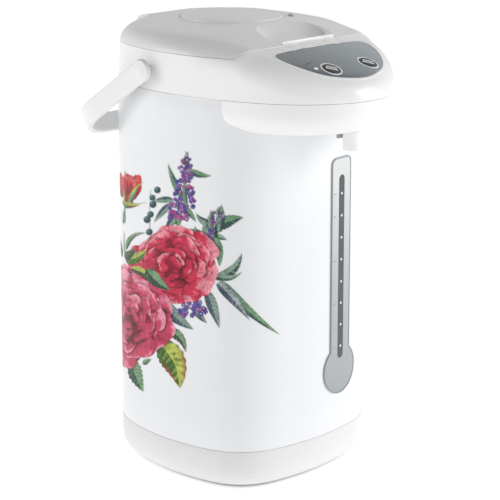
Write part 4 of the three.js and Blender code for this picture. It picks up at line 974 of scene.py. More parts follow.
lens = lathe([(0, lens_top - 6), (1.7, lens_top - 6), (1.7, lens_top - 0.1), (1.55, lens_top + 0.25), (1.1, lens_top + 0.5), (0.5, lens_top + 0.6), (0, lens_top + 0.62)], -34, -116, 48)
piece(lens, "led_dome", "pot", led, ["led_lens"])
mark = tilted(prism([(-5, -0.35), (5, -0.35), (5, 0.35), (-5, 0.35)], 0, 9), rz=math.radians(10), at=(-33.6, -107.9, 340))
mark.data.transform(Matrix.Translation((0, 0, 0.015)))
mark = common(mark, cut(head(-0.16, Z_HEAD), head(0.4, 300)))
if len(mark.data.vertices):
    piece(mark, "panel_line", "pot", dark)
else:
    bpy.data.objects.remove(mark)

# ------------------------------------------------------------------ level gauge
def toward(pts, y0, y1):
    """Outline of (x, z) points, about the gauge's centre line, extruded along Y."""
    n = len(pts)
    verts = [(GAUGE_X + x, y0, z) for x, z in pts] + [(GAUGE_X + x, y1, z) for x, z in pts]
    faces = [tuple(range(n)), tuple(range(2 * n - 1, n - 1, -1))]
    faces += [(i, i + n, (i + 1) % n + n, (i + 1) % n) for i in range(n)]
    o = obj_from("toward", verts, faces)
    o.data.flip_normals() if volume(verts, [f for f in faces]) < 0 else None
    return o


def thermometer(g):
    w, br = GAUGE_W + g, BULB_R + g
    a0 = math.acos(w / br)
    pts = [(br * math.cos(a0 - t * (math.pi + 2 * a0)), BULB_Z + br * math.sin(a0 - t * (math.pi + 2 * a0))) for t in np.linspace(0, 1, 72)]
    top = GAUGE_TOP + g
    corner = 5.5
    pts += [(-w + corner - corner * math.cos(t), top - corner + corner * math.sin(t)) for t in np.linspace(0, math.pi / 2, 10)]
    pts += [(w - corner + corner * math.sin(t), top - corner + corner * math.cos(t)) for t in np.linspace(0, math.pi / 2, 10)]
    return pts


def slot_shape(r, z0=103.0, z1=254.0):
    return [(r * math.cos(-t), z0 + r * math.sin(-t)) for t in np.linspace(0, math.pi, 24)] + [(r * math.cos(math.pi - t), z1 + r * math.sin(math.pi - t)) for t in np.linspace(0, math.pi, 24)]


def face_skin(e0, e1, z0=60, z1=290):
    """Layer between two offsets of the jacket's face."""
    return cut(body_prism(e0, z0, z1, 2, 240), body_prism(e1, z0 - 20, z1 + 20, 2, 240))


def toward_skin(pts, e0, e1):
    return common(toward(pts, -130, -60), face_skin(e0, e1))


plate = cut(toward_skin(thermometer(-0.9), -1.05, -0.02), toward(slot_shape(3.9), -130, -60))
piece(plate, "gauge_face", "pot", silver, ["gauge_plate"])
edge = cut(toward_skin(thermometer(0), -1.3, -0.02), toward(thermometer(-0.85), -131, -59))
piece(edge, "gauge_edge", "pot", grey_edge)
pane = toward_skin(slot_shape(3.85), -0.95, -0.02)
piece(pane, "gauge_pane", "pot", window, ["gauge_window"])
for i, z in enumerate((241.9, 223.1, 204.3, 185.4, 166.3, 147.6, 128.7, 109.7)):
    dot = [(0.2 + 1.05 * math.cos(t), z + 1.05 * math.sin(t)) for t in np.linspace(0, 2 * math.pi, 24, endpoint=False)][::-1]
    piece(toward_skin(dot, -1.15, -0.5), "gauge_dot_%d" % (i + 1), "pot", rim_white)
for i, z in enumerate((242.6, 223.5, 185.4, 148.2, 110.3)):
    tick = [(-11.2, z - 0.32), (-11.2, z + 0.32), (-7.6, z + 0.32), (-7.6, z - 0.32)]
    piece(toward_skin(tick, -1.16, -0.5), "gauge_tick_%d" % (i + 1), "pot", grey_edge)

# ------------------------------------------------------------------ carry handle
drop = math.radians(HANDLE_DROP)


def swung(u, s, w):
    return (u, PIVOT_Y + s * math.cos(drop) + w * math.sin(drop), PIVOT_Z - s * math.sin(drop) + w * math.cos(drop))


def rounded_rect(a, b, r, n=6):
    pts = []
    for cx, cy, t0 in ((a - r, b - r, 0), (-a + r, b - r, 90), (-a + r, -b + r, 180), (a - r, -b + r, 270)):
        pts += [(cx + r * math.cos(math.radians(t0 + 90 * k / n)), cy + r * math.sin(math.radians(t0 + 90 * k / n))) for k in range(n + 1)]
    return pts


H, L, C = HANDLE_HALF, HANDLE_L, 40
line = [(-H, s) for s in np.linspace(0, L - C, 12)]
line += [(-H + C + C * math.cos(a), L - C + C * math.sin(a)) for a in np.linspace(math.pi, math.pi / 2, 26)[1:]]
line += [(u, L) for u in np.linspace(-H + C, 0, 8)[1:]]
full = line + [(-u, s) for u, s in line[::-1][1:]]
rows = []
for i, (u, s) in enumerate(full):
    p, q = full[max(i - 1, 0)], full[min(i + 1, len(full) - 1)]
    tx, ty = q[0] - p[0], q[1] - p[1]
    l = math.hypot(tx, ty)
    nx, ny = -ty / l, tx / l
    rows.append([swung(u + nx * a, s + ny * a, w) for a, w in rounded_rect(HANDLE_T / 2, HANDLE_W / 2, 1.7)])
bail = loft(rows)
for s in (-1, 1):
    eye = lathe(rounded([(0, -HANDLE_T / 2), (HANDLE_W / 2 + 0.7, -HANDLE_T / 2), (HANDLE_W / 2 + 0.7, HANDLE_T / 2), (0, HANDLE_T / 2)], 2.2, 8), 0, 0, 96)
    bail = join(bail, tilted(eye, ry=math.pi / 2, at=(s * H, PIVOT_Y, PIVOT_Z)))
for s in (-1, 1):
    bail = cut(bail, cyl_x(3.3, s * H - 10, s * H + 10, PIVOT_Y, PIVOT_Z, 48))
piece(bail, "bail", "handle", handle_white, ["carry_handle"], 40)
for s, side_name in ((-1, "left"), (1, "right")):
    pin = lathe(rounded([(0, 86.6), (5.6, 86.6), (5.6, 88.4), (3.2, 88.4), (3.2, 103.7), (5.0, 103.7), (5.0, 103.85), (4.0, 104.05), (2.4, 104.15), (0, 104.2)], 0.12, 3), 0, 0, 64)
    pin = tilted(pin, ry=s * math.pi / 2, at=(0, PIVOT_Y, PIVOT_Z))
    piece(pin, "pivot_" + side_name, "pot", handle_white, ["handle_pin_" + side_name])

# ------------------------------------------------------------------ printed flowers
def srgb(r, g, b):
    c = np.array([r, g, b], float) / 255
    return np.where(c <= 0.04045, c / 12.92, ((c + 0.055) / 1.055) ** 2.4)


def value_noise(x, y, scale, seed):
    g = np.random.default_rng(seed).random((61, 61))
    u, v = x / scale + 500, y / scale + 500
    i, j = np.floor(u).astype(int), np.floor(v).astype(int)
    fu, fv = u - i, v - j
    fu, fv = fu * fu * (3 - 2 * fu), fv * fv * (3 - 2 * fv)
    n = 61
    return (g[i % n, j % n] * (1 - fu) + g[(i + 1) % n, j % n] * fu) * (1 - fv) + (g[i % n, (j + 1) % n] * (1 - fu) + g[(i + 1) % n, (j + 1) % n] * fu) * fv


def fractal(x, y, scale, seed, octaves=3):
    return sum(value_noise(x, y, scale / 2**k, seed + 17 * k) / 2**k for k in range(octaves)) / sum(1 / 2**k for k in range(octaves))


def step(x, lo, hi):
    t = np.clip((x - lo) / (hi - lo), 0, 1)
    return t * t * (3 - 2 * t)


def mix3(t, *cols):
    """Colour along a row of colours, t from 0 to 1."""
    cols = np.array(cols)
    t = np.clip(t, 0, 1) * (len(cols) - 1)
    i = np.clip(np.floor(t).astype(int), 0, len(cols) - 2)
    f = (t - i)[:, None]
    return cols[i] * (1 - f) + cols[i + 1] * f


# the face the flowers are printed on: arc length from the front-left corner, and height
_ph = np.radians(np.linspace(-135, -345, 4201))
_xy = np.stack([body_r(_ph) * np.cos(_ph), body_r(_ph) * np.sin(_ph)], -1)
_arc = np.concatenate([[0], np.cumsum(np.linalg.norm(np.diff(_xy, axis=0), axis=1))])


def on_jacket(s, z, off=0.0):
    d = np.interp(np.abs(s), _arc, _ph) - math.radians(-135)
    phi = math.radians(-135) + np.where(s >= 0, d, -d)
    r = body_r(phi, z) + off
    return np.stack([r * np.cos(phi), r * np.sin(phi), z + 0 * phi], -1)


EYE = np.array([-1083.12, -1090.42, 599.39])
BACK = np.array([-0.68296, -0.68144, 0.26307])
RIGHT = np.array([0.7063, -0.7079, 0.0])
UPV = np.cross(BACK, RIGHT)
WRAP = 128.0


def layout(s, z):
    """Where a point of the jacket falls on the print's flat layout, drawn as it looks from the front-left corner."""
    p = on_jacket(np.minimum(s, WRAP), z) - EYE
    d = -(p @ BACK)
    x = 1640.9 * (p @ RIGHT) / d
    y = 1640.9 * (p @ UPV) / d
    return x + 67.26 - 0.75 * np.maximum(s - WRAP, 0), y + 13.28


def at(i, j):
    return np.array([(i - 345) * 0.177, (625 - j) * 0.177])


s_line = np.concatenate([np.arange(-44, 150, 0.62), np.arange(150, 220, 1.0)])
z_line = np.arange(58, 296, 0.62)
SS, ZZ = np.meshgrid(s_line, z_line, indexing="ij")
LX, LY = layout(SS.ravel(), ZZ.ravel())
INK = np.zeros((len(LX), 3))
COVER = np.zeros(len(LX))


def near(x0, x1, y0, y1):
    return np.nonzero((LX > x0) & (LX < x1) & (LY > y0) & (LY < y1))[0]


def paint_on(idx, colour, alpha):
    a0 = COVER[idx]
    out = alpha + a0 * (1 - alpha)
    w = (alpha / np.maximum(out, 1e-6))[:, None]
    INK[idx] = np.clip(colour, 0.001, 1) * w + INK[idx] * (1 - w)
    COVER[idx] = out


def leaf(base, tip, bend, width, dark_c, light_c, edge_c=None, seed=1, veins=9, serrate=0.0, full=0.62, power=0.8):
    p0, p2 = at(*base), at(*tip)
    d = p2 - p0
    p1 = (p0 + p2) / 2 + np.array([-d[1], d[0]]) * bend
    t = np.linspace(0, 1, 60)[:, None]
    c = (1 - t) ** 2 * p0 + 2 * t * (1 - t) * p1 + t * t * p2
    lo, hi = c.min(0) - width - 1, c.max(0) + width + 1
    idx = near(lo[0], hi[0], lo[1], hi[1])
    if not len(idx):
        return
    q = np.stack([LX[idx], LY[idx]], -1)
    a, b = c[:-1], c[1:]
    ab = b - a
    k = np.clip(((q[:, None] - a) * ab).sum(-1) / (ab * ab).sum(-1), 0, 1)
    near_p = a + ab * k[..., None]
    dist = np.linalg.norm(q[:, None] - near_p, axis=-1)
    j = dist.argmin(1)
    r = np.arange(len(q))
    tt = (j + k[r, j]) / 59
    n = np.stack([-ab[j][:, 1], ab[j][:, 0]], -1)
    n /= np.linalg.norm(n, axis=1)[:, None]
    sd = ((q - near_p[r, j]) * n).sum(-1)
    dd = dist[r, j] * np.sign(np.where(sd == 0, 1, sd))
    w = width * np.sin(np.pi * np.clip(tt, 0, 1) ** full) ** power
    if serrate:
        w = w * (1 + serrate * np.sin(tt * 46 + 1.3 * np.sign(dd)))
    w = np.maximum(w, 0.28 * (1 - tt) + 0.12)
    inside = step(w - np.abs(dd), -0.35, 0.35)
    inside = np.where((dist[r, j] > w + 0.4), 0, inside)
    v = np.abs(dd) / np.maximum(w, 0.3)
    tone = 0.42 + 0.22 * np.sign(dd) * (1 - 0.4 * tt) + 0.5 * (fractal(q[:, 0], q[:, 1], 4.0, seed) - 0.5) + 0.12 * tt
    if veins:
        wave_v = np.cos(2 * np.pi * (tt * veins - v * 0.9))
        tone += 0.2 * step(wave_v, 0.72, 1.0) - 0.12 * step(-wave_v, 0.3, 1.0)
    tone += 0.34 * np.exp(-((dd / 0.4) ** 2)) - 0.3 * step(v, 0.78, 1.05)
    col = mix3(tone, dark_c * 0.75, dark_c, light_c, light_c * 1.15)
    if edge_c is not None:
        e = (step(v, 0.55, 0.95) * step(tt + 0.25 * fractal(q[:, 0], q[:, 1], 9, seed + 5), 0.35, 0.85))[:, None]
        col = col * (1 - 0.75 * e) + edge_c * 0.75 * e
    paint_on(idx, col, inside)


def petal(c, a, along, across, dark_c, mid_c, light_c, seed, lift=0.0, shadow=0.45, ruffle=0.07):
    """One petal about c, its rim pointing at angle a."""
    R_ = max(along, across) * 1.35
    idx = near(c[0] - R_, c[0] + R_, c[1] - R_, c[1] + R_)
    if not len(idx):
        return
    x, y = LX[idx] - c[0], LY[idx] - c[1]
    p = x * math.cos(a) + y * math.sin(a)
    q = -x * math.sin(a) + y * math.cos(a)
    ang = np.arctan2(q / across, p / along)
    m = np.sqrt((p / along) ** 2 + (q / across) ** 2)
    rng = np.random.default_rng(seed)
    f1, f2, f3 = rng.random(3) * 6.28
    m = m / (1 + ruffle * np.sin(3 * ang + f1) + 0.6 * ruffle * np.sin(5 * ang + f2) + 0.3 * ruffle * np.sin(9 * ang + f3) - 0.07 * np.exp(-((ang / 0.35) ** 2)))
    deep = step(fractal(LX[idx], LY[idx], 7.0, seed + 40), 0.36, 0.66)
    drop_s = (0.12 + shadow * deep) * (1 - step(m, 1.0, 1.0 + (1.2 + 2.4 * deep) / max(along, across)))
    hit = (m > 1) & (COVER[idx] > 0.02)
    INK[idx] = np.where(hit[:, None], INK[idx] * (1 - drop_s)[:, None], INK[idx])
    inside = step((1 - m) * max(along, across), -0.3, 0.35)
    t = (p / along + 1) / 2
    streak = fractal(q * 1.7, p * 0.4, 2.6, seed + 3) - 0.5
    blotch = fractal(x, y, 6.5, seed + 9) - 0.5
    tone = 0.1 + 0.52 * step(t, 0.1, 1.0) + 0.34 * streak + 0.75 * blotch + lift
    tone += 0.3 * step(m, 0.84, 0.97) * step(t, 0.45, 0.85) * step(blotch + 0.5, 0.3, 0.7) - 0.22 * step(np.abs(q) / across, 0.6, 1.0)
    paint_on(idx, mix3(tone, dark_c, mid_c * 0.86, mid_c, light_c * 0.92, light_c), inside)


def rose(i, j, R0, wide, tall, pal, seed, centre=(0.0, 0.08), rings=((1.0, 6, 0.62), (0.82, 6, 0.56), (0.64, 5, 0.5), (0.48, 5, 0.42), (0.34, 4, 0.36), (0.22, 4, 0.26), (0.12, 3, 0.16))):
    c0 = at(i, j)
    rng = np.random.default_rng(seed)
    for k, (f, n, la) in enumerate(rings):
        start = rng.random() * 6.28
        order = rng.permutation(n)
        for o in order:
            a = start + 2 * math.pi * (o + 0.5 * (rng.random() - 0.5)) / n
            shift = 1 - f
            cen = c0 + np.array([centre[0], centre[1]]) * R0 * shift
            reach = R0 * (f - la * f * 0.52) * (0.94 + 0.1 * rng.random())
            cc = cen + np.array([math.cos(a) * reach * wide, math.sin(a) * reach * tall])
            size = R0 * (0.14 + 0.38 * f)
            stretch = math.hypot(math.cos(a) * wide, math.sin(a) * tall)
            cross = math.hypot(math.sin(a) * wide, math.cos(a) * tall)
            petal(cc, math.atan2(math.sin(a) * tall, math.cos(a) * wide), size * stretch * (0.74 + 0.22 * rng.random()), size * cross * (0.86 + 0.34 * rng.random()), pal[0], pal[1], pal[2], seed * 31 + k * 11 + int(o), lift=0.3 * (0.5 - rng.random()) - 0.16 * (1 - f) + 0.1 * math.sin(a), shadow=0.62, ruffle=0.085)


def disc(x, y, r, cols, seed=1, light=(-0.35, 0.4)):
    idx = near(x - r - 1, x + r + 1, y - r - 1, y + r + 1)
    if not len(idx):
        return
    dx, dy = (LX[idx] - x) / r, (LY[idx] - y) / r
    m = np.hypot(dx, dy)
    tone = 0.85 - 0.62 * np.hypot(dx - light[0], dy - light[1]) + 0.35 * (fractal(LX[idx], LY[idx], 1.6, seed) - 0.5)
    paint_on(idx, mix3(tone, *cols), step((1 - m) * r, -0.3, 0.3))


def floret(x, y, r, cols, seed):
    rng = np.random.default_rng(seed)
    a0 = rng.random() * 6.28
    n = 4 + int(rng.random() * 2)
    for k in range(n):
        a = a0 + 2 * math.pi * k / n
        disc(x + 0.62 * r * math.cos(a), y + 0.62 * r * math.sin(a), r * 0.5, cols, seed + k)
    disc(x, y, r * 0.22, (cols[0] * 0.5, cols[0]) if seed % 3 else (srgb(226, 206, 150), srgb(250, 240, 210)), seed + 9)


GREEN_D, GREEN_L = srgb(48, 82, 62), srgb(120, 158, 120)
SAGE_D, SAGE_L = srgb(62, 88, 84), srgb(140, 164, 148)
SLATE_D, SLATE_L = srgb(78, 90, 108), srgb(158, 168, 168)
LIME_D, LIME_L = srgb(72, 108, 44), srgb(184, 192, 92)
OLIVE = srgb(96, 104, 74)
RED = srgb(176, 58, 58)
PINK = (srgb(142, 22, 48), srgb(210, 50, 82), srgb(242, 150, 164))
ROSE2 = (srgb(122, 16, 46), srgb(204, 66, 100), srgb(240, 156, 178))
CORAL = (srgb(128, 16, 34), srgb(200, 46, 60), srgb(232, 116, 104))
VIOLETS = [(srgb(58, 44, 104), srgb(106, 84, 168), srgb(168, 148, 214)), (srgb(84, 40, 104), srgb(140, 78, 160), srgb(204, 148, 206)), (srgb(110, 34, 92), srgb(184, 70, 140), srgb(226, 146, 190)), (srgb(44, 44, 96), srgb(80, 84, 160), srgb(140, 150, 212)), (srgb(70, 52, 96), srgb(120, 96, 160), srgb(190, 172, 216))]

# stems and back leaves
leaf((225, 460), (228, 250), 0.03, 0.28, GREEN_D, SAGE_L, veins=0, power=0.1)
leaf((130, 320), (210, 312), -0.05, 0.25, OLIVE, SAGE_L, veins=0, power=0.1)
leaf((85, 470), (100, 560), 0.05, 0.3, GREEN_D, SAGE_L, veins=0, power=0.1)
leaf((105, 550), (205, 465), 0.45, 2.2, GREEN_D, GREEN_L, RED, seed=4)
leaf((75, 430), (100, 330), 0.05, 2.2, SAGE_D, GREEN_L, seed=5)
leaf((96, 590), (82, 470), 0.1, 1.2, GREEN_D, GREEN_L, seed=6, veins=0)
# spike flower
leaf((395, 300), (315, 118), 0.08, 3.0, SAGE_D, GREEN_L, seed=7)
leaf((420, 150), (532, 178), -0.16, 3.0, SAGE_D, GREEN_L, seed=8)
leaf((340, 300), (232, 312), -0.12, 2.8, SAGE_D, SAGE_L, seed=9)
leaf((330, 320), (246, 412), -0.08, 3.0, SLATE_D, SAGE_L, seed=10)
leaf((385, 330), (455, 410), 0.1, 2.9, SLATE_D, GREEN_L, seed=11)
leaf((350, 380), (372, 432), 0.05, 4.2, SAGE_D, GREEN_L, seed=12)
leaf((345, 390), (300, 450), 0.05, 3.4, SAGE_D, SAGE_L, seed=13)
leaf((370, 420), (415, 60), -0.05, 0.6, SAGE_D, SAGE_L, veins=0, power=0.1)
rng = np.random.default_rng(11)
for k in range(150):
    f = rng.random() ** 0.85
    i = 370 + (415 - 370) * f + 6 * math.sin(5 * f)
    j = 395 - (395 - 90) * f
    w = (58 * (1 - f) ** 0.62 + 12) * (0.72 if f < 0.08 else 1)
    i += (rng.random() - 0.5) * 2 * w
    x, y = at(i, j + (rng.random() - 0.5) * 14)
    r = (2.35 - 1.15 * f) * (0.8 + 0.4 * rng.random())
    floret(x, y, r, VIOLETS[int(rng.random() * 5)], 300 + k)
for k in range(16):
    f = k / 15
    x, y = at(408 + 14 * math.sin(k * 2.4) * (1 - f * 0.7), 128 - 68 * f)
    disc(x, y, 1.15 - 0.55 * f, (srgb(50, 44, 66), srgb(84, 74, 108), srgb(110, 124, 118)), 500 + k)
leaf((408, 330), (395, 205), 0.05, 1.9, SAGE_D, GREEN_L, seed=14)
# sprig
leaf((540, 420), (455, 366), 0.28, 3.2, SAGE_D, SAGE_L, seed=15)
leaf((560, 440), (692, 388), 0.16, 5.4, SAGE_D, GREEN_L, seed=16, serrate=0.05)
leaf((500, 480), (398, 440), 0.15, 4.4, SAGE_D, SAGE_L, seed=17, serrate=0.05)
leaf((545, 480), (608, 500), 0.1, 2.6, GREEN_D, SAGE_L, seed=18)
leaf((570, 460), (582, 322), -0.06, 3.8, SAGE_D, SAGE_L, seed=19, serrate=0.09)
leaf((520, 530), (500, 400), 0.05, 4.6, SAGE_D, SAGE_L, seed=20, serrate=0.09)
leaf((545, 520), (530, 350), 0.02, 4.6, GREEN_D, SAGE_L, seed=21, serrate=0.09)
leaf((545, 490), (572, 632), 0.14, 4.4, SAGE_D, GREEN_L, seed=22)
leaf((470, 500), (450, 430), 0.1, 2.6, SAGE_D, SAGE_L, seed=23)
rng = np.random.default_rng(23)
for k in range(70):
    f = rng.random()
    i, j = 575 - 85 * f + (rng.random() - 0.5) * 62, 362 + 165 * f + (rng.random() - 0.5) * 22
    x, y = at(i, j)
    if rng.random() < 0.42:
        leaf((i, j), (i + (rng.random() - 0.5) * 46, j - 14 - 26 * rng.random()), 0.1, 1.5, SAGE_D, SAGE_L, seed=600 + k, veins=0)
    else:
        floret(x, y, 1.1 + 0.7 * rng.random(), VIOLETS[int(rng.random() * 5)], 400 + k)
# berries
for k, (i, j, r) in enumerate(((262, 250, 3.0), (237, 288, 2.7), (240, 322, 3.1), (228, 372, 2.9), (211, 398, 3.2), (222, 460, 3.0))):
    x, y = at(i, j)
    disc(x, y, r, (srgb(34, 52, 66), srgb(58, 92, 98), srgb(120, 156, 150)), 700 + k)
# rosebud
leaf((105, 330), (98, 148), 0.05, 2.6, GREEN_D, LIME_L, seed=30)
petal(at(120, 240), 1.5, 13.0, 9.6, *CORAL, 31)
petal(at(150, 235), 1.25, 11.5, 5.6, *CORAL, 32)
petal(at(98, 245), 1.75, 11.5, 6.4, *CORAL, 33)
petal(at(126, 250), 1.5, 11.8, 5.6, CORAL[0], CORAL[1], CORAL[2], 34, lift=0.1)
petal(at(112, 225), 1.65, 6.4, 4.2, CORAL[0], CORAL[1], CORAL[2], 35, lift=-0.12)
petal(at(60, 240), 1.9, 11.0, 8.0, *CORAL, 36)
leaf((128, 332), (192, 210), 0.28, 2.3, GREEN_D, LIME_L, RED, seed=37)
leaf((120, 330), (160, 250), 0.12, 2.0, GREEN_D, GREEN_L, seed=38)
leaf((95, 335), (80, 250), -0.1, 2.4, GREEN_D, LIME_L, seed=39)
leaf((70, 318), (176, 322), -0.12, 3.0, OLIVE, LIME_L, RED, seed=40)
leaf((92, 420), (90, 320), 0.02, 1.6, GREEN_D, GREEN_L, seed=41)
# long leaves on the right
leaf((575, 708), (872, 972), -0.07, 4.6, SAGE_D, GREEN_L, seed=42, veins=12, full=0.5)
leaf((562, 715), (722, 900), 0.06, 4.6, SLATE_D, SLATE_L, seed=43, full=0.55)
leaf((545, 690), (684, 566), -0.34, 4.4, GREEN_D, SAGE_L, seed=44)
leaf((556, 680), (684, 660), -0.3, 2.6, SAGE_D, SAGE_L, seed=45)
leaf((508, 755), (572, 940), 0.03, 4.8, SLATE_D, SAGE_L, seed=46)
leaf((440, 830), (510, 916), -0.08, 3.4, SLATE_D, SAGE_L, seed=47)
leaf((280, 800), (442, 946), -0.12, 6.0, SLATE_D, SAGE_L, seed=48, veins=11)
# lower leaves
leaf((285, 950), (404, 1062), 0.42, 4.6, GREEN_D, GREEN_L, RED, seed=49, serrate=0.06)
leaf((262, 1010), (374, 1240), 0.24, 11.0, LIME_D, LIME_L, RED, seed=50, serrate=0.05, veins=8, full=0.72)
leaf((130, 1100), (192, 1258), -0.06, 6.4, GREEN_D, GREEN_L, seed=51, serrate=0.08)
leaf((190, 1120), (232, 1096), 0.1, 2.4, GREEN_D, GREEN_L, seed=52, serrate=0.1)
leaf((20, 1080), (-40, 1180), 0.1, 6.4, GREEN_D, LIME_L, seed=53)
leaf((-30, 900), (-120, 965), 0.2, 7.0, SAGE_D, GREEN_L, seed=54)
leaf((60, 600), (-70, 520), -0.2, 6.0, SAGE_D, SAGE_L, seed=55)
# violet flower under the large rose
rng = np.random.default_rng(5)
for k in range(34):
    a, q = rng.random() * 6.28, rng.random() ** 0.6
    x, y = at(438 + 66 * q * math.cos(a), 845 + 48 * q * math.sin(a))
    floret(x, y, 1.9 + 0.6 * rng.random(), VIOLETS[(0, 3, 4, 1)[int(rng.random() * 4)]], 800 + k)
# the large rose, then the second one
rose(342, 624, 37.0, 1.03, 0.86, PINK, 21, centre=(-0.1, -0.02))
leaf((95, 590), (205, 545), -0.36, 5.2, LIME_D, LIME_L, seed=56)
leaf((85, 590), (150, 540), -0.2, 3.8, GREEN_D, OLIVE, seed=57)
rose(112, 884, 38.0, 0.9, 1.12, ROSE2, 47, centre=(0.0, -0.02))
leaf((130, 640), (248, 706), 0.14, 3.6, GREEN_D, LIME_L, seed=58)
leaf((210, 645), (325, 748), -0.16, 5.6, GREEN_D, GREEN_L, seed=59)

keep_v = COVER.reshape(SS.shape) > 0.004
ns, nz = SS.shape
cell = keep_v[:-1, :-1] | keep_v[1:, :-1] | keep_v[:-1, 1:] | keep_v[1:, 1:]
ci, cj = np.nonzero(cell)
vid = np.arange(ns * nz).reshape(ns, nz)
quads = np.stack([vid[ci, cj], vid[ci, cj + 1], vid[ci + 1, cj + 1], vid[ci + 1, cj]], -1)
used, inverse = np.unique(quads.ravel(), return_inverse=True)
quads = inverse.reshape(-1, 4)
P = on_jacket(SS.ravel()[used], ZZ.ravel()[used], 0.05)
me = bpy.data.meshes.new("floral_print")
me.vertices.add(len(P))
me.vertices.foreach_set("co", (P * 0.001).ravel())
me.loops.add(len(quads) * 4)
me.loops.foreach_set("vertex_index", quads.ravel().astype(np.int32))
me.polygons.add(len(quads))
me.polygons.foreach_set("loop_start", np.arange(0, len(quads) * 4, 4, dtype=np.int32))
me.polygons.foreach_set("loop_total", np.full(len(quads), 4, dtype=np.int32))
me.update(calc_edges=True)
me.validate()
nrm = np.empty(3)
col = me.color_attributes.new(name="ink", type="FLOAT_COLOR", domain="POINT")
rgba = np.concatenate([INK[used], COVER[used][:, None]], 1)
col.data.foreach_set("color", rgba.astype(np.float32).ravel())
c0, n0 = me.polygons[0].center, me.polygons[0].normal
if n0.x * c0.x + n0.y * c0.y < 0:
    me.flip_normals()
printed = bpy.data.objects.new("floral_print", me)
bpy.context.scene.collection.objects.link(printed)
piece(printed, "floral_print", "pot", ink, [], 60)
print("print faces", len(me.polygons))

# ------------------------------------------------------------------ carried-over parts
FINISH = {
    "swivel_plate": base_white_painted_shade, "bottom_cover": grey, "power_inlet": dark, "inlet_pin_left": brass, "inlet_pin_right": brass,
    "heater_plate": alu, "thermostat": dark, "thermal_cutout": pump_white, "band_heater": mica, "pump_housing": pump_white,
    "pump_motor": steel, "pump_impeller": pump_white, "pump_inlet_tube": silicone, "pump_outlet_hose": silicone,
    "power_board": circuit, "sight_tube": glass, "outlet_pipe": silicone, "lever_switch": dark, "control_board": circuit,
    "switch_left": dark, "switch_right": dark, "hinge_pin": steel,
}
for i in range(1, 5):
    FINISH["rubber_foot_%d" % i] = black_rubber
    FINISH["bottom_screw_%d" % i] = steel
for name, material in FINISH.items():
    o = NODES[name]
    o.data.materials.clear()
    o.data.materials.append(material)
    o.data.shade_smooth()
    o.data.set_sharp_from_angle(angle=math.radians(35))

# ------------------------------------------------------------------ floor, sky and lights
scene = bpy.context.scene
scene.view_settings.view_transform = "Standard"
scene.view_settings.look = "None"
scene.view_settings.exposure = 0.0
scene.view_settings.gamma = 1.0

# the floor glows evenly white away from the pot; the glow falls off towards the base and is nil under it: a painted
# contact shadow, with a dark painted line just under the base's edge
reach = [-95, -40, -20, -17, -15, -13, -11, -8, -4, 0, 6, 14, 30, 70, 200, 900, 9000]
floor_glow_painted_shadow = [0.0, 0.0, 0.05, 0.14, 0.28, 0.52, 0.7, 0.77, 0.8, 0.825, 0.84, 0.87, 0.9, 0.9, 0.9, 0.9, 0.9]
around = body_r(PHI, Z_BASE_TOP)
floor_o = loft([np.stack([np.maximum(around + d, 2) * np.cos(PHI), np.maximum(around + d, 2) * np.sin(PHI), np.full(SEG, -0.2)], -1) for d in reach], name="floor", open_end=True)
floor_me = floor_o.data
att = floor_me.attributes.new(name="floor_glow_painted_shadow", type="FLOAT", domain="POINT")
att.data.foreach_set("value", np.repeat(floor_glow_painted_shadow, SEG).astype(np.float32))
fm, ft, fp = nodes_of("studio_floor")
fp.inputs["Base Color"].default_value = (0.3, 0.3, 0.3, 1)
fp.inputs["Roughness"].default_value = 0.9
fp.inputs["Specular IOR Level"].default_value = 0.1
fp.inputs["Emission Color"].default_value = (1, 1, 1, 1)
ga = ft.nodes.new("ShaderNodeAttribute")
ga.attribute_name = "floor_glow_painted_shadow"
ft.links.new(ga.outputs["Fac"], fp.inputs["Emission Strength"])
floor_o.data.materials.append(fm)

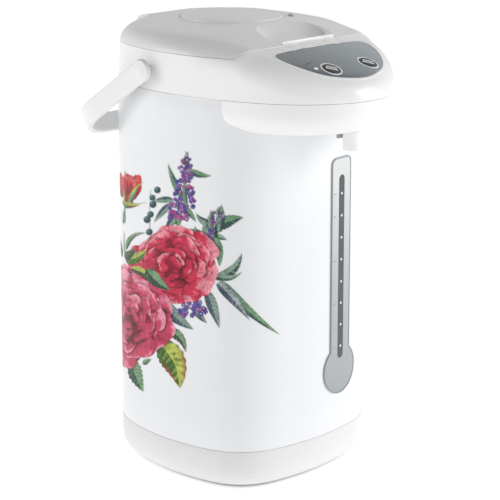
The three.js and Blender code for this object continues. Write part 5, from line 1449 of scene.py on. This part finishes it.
world = bpy.data.worlds.new("studio")
scene.world = world
world.use_nodes = True
wt = world.node_tree
bg = wt.nodes["Background"]
tc = wt.nodes.new("ShaderNodeTexCoord")
sx = wt.nodes.new("ShaderNodeSeparateXYZ")
wt.links.new(tc.outputs["Generated"], sx.inputs["Vector"])
sky = wt.nodes.new("ShaderNodeValToRGB")
els = sky.color_ramp.elements
while len(els) < len(SKY):
    els.new(0.5)
for el, (p, v) in zip(els, SKY):
    el.position = p
    el.color = (v, v, v, 1)
wt.links.new(sx.outputs["Z"], sky.inputs["Fac"])
toward_viewer = wt.nodes.new("ShaderNodeVectorMath")
toward_viewer.operation = "DOT_PRODUCT"
wt.links.new(tc.outputs["Generated"], toward_viewer.inputs[0])
toward_viewer.inputs[1].default_value = (-0.79, -0.54, -0.29)
dim = wt.nodes.new("ShaderNodeMapRange")
dim.interpolation_type = "SMOOTHSTEP"
dim.inputs["From Min"].default_value = 0.69
dim.inputs["From Max"].default_value = 0.97
dim.inputs["To Min"].default_value = 1.0
dim.inputs["To Max"].default_value = BEHIND_VIEWER
wt.links.new(toward_viewer.outputs["Value"], dim.inputs["Value"])
dimmed = wt.nodes.new("ShaderNodeVectorMath")
dimmed.operation = "SCALE"
wt.links.new(sky.outputs["Color"], dimmed.inputs[0])
wt.links.new(dim.outputs["Result"], dimmed.inputs["Scale"])
wt.links.new(dimmed.outputs["Vector"], bg.inputs["Color"])
bg.inputs["Strength"].default_value = 1.0


def area(name, where, target, size, power, size_y=None):
    l = bpy.data.lights.new(name, "AREA")
    l.shape = "RECTANGLE"
    l.size = size
    l.size_y = size_y or size
    l.energy = power
    o = bpy.data.objects.new(name, l)
    bpy.context.scene.collection.objects.link(o)
    o.location = where
    d = Vector(target) - Vector(where)
    o.rotation_euler = d.to_track_quat("-Z", "Y").to_euler()
    return o


for spec in LIGHTS:
    area(*spec)

# ------------------------------------------------------------------ camera
cam = bpy.data.cameras.new("camera")
cam.sensor_width = 36.0
cam.lens = 133.5
cam_o = bpy.data.objects.new("camera", cam)
bpy.context.scene.collection.objects.link(cam_o)
back = Vector((-0.68296, -0.68144, 0.26307)).normalized()
right = Vector((0, 0, 1)).cross(back).normalized()
up = back.cross(right)
cam_o.matrix_world = Matrix.Translation((-1.08312, -1.09042, 0.59939)) @ Matrix((right, up, back)).transposed().to_4x4()
bpy.context.scene.camera = cam_o
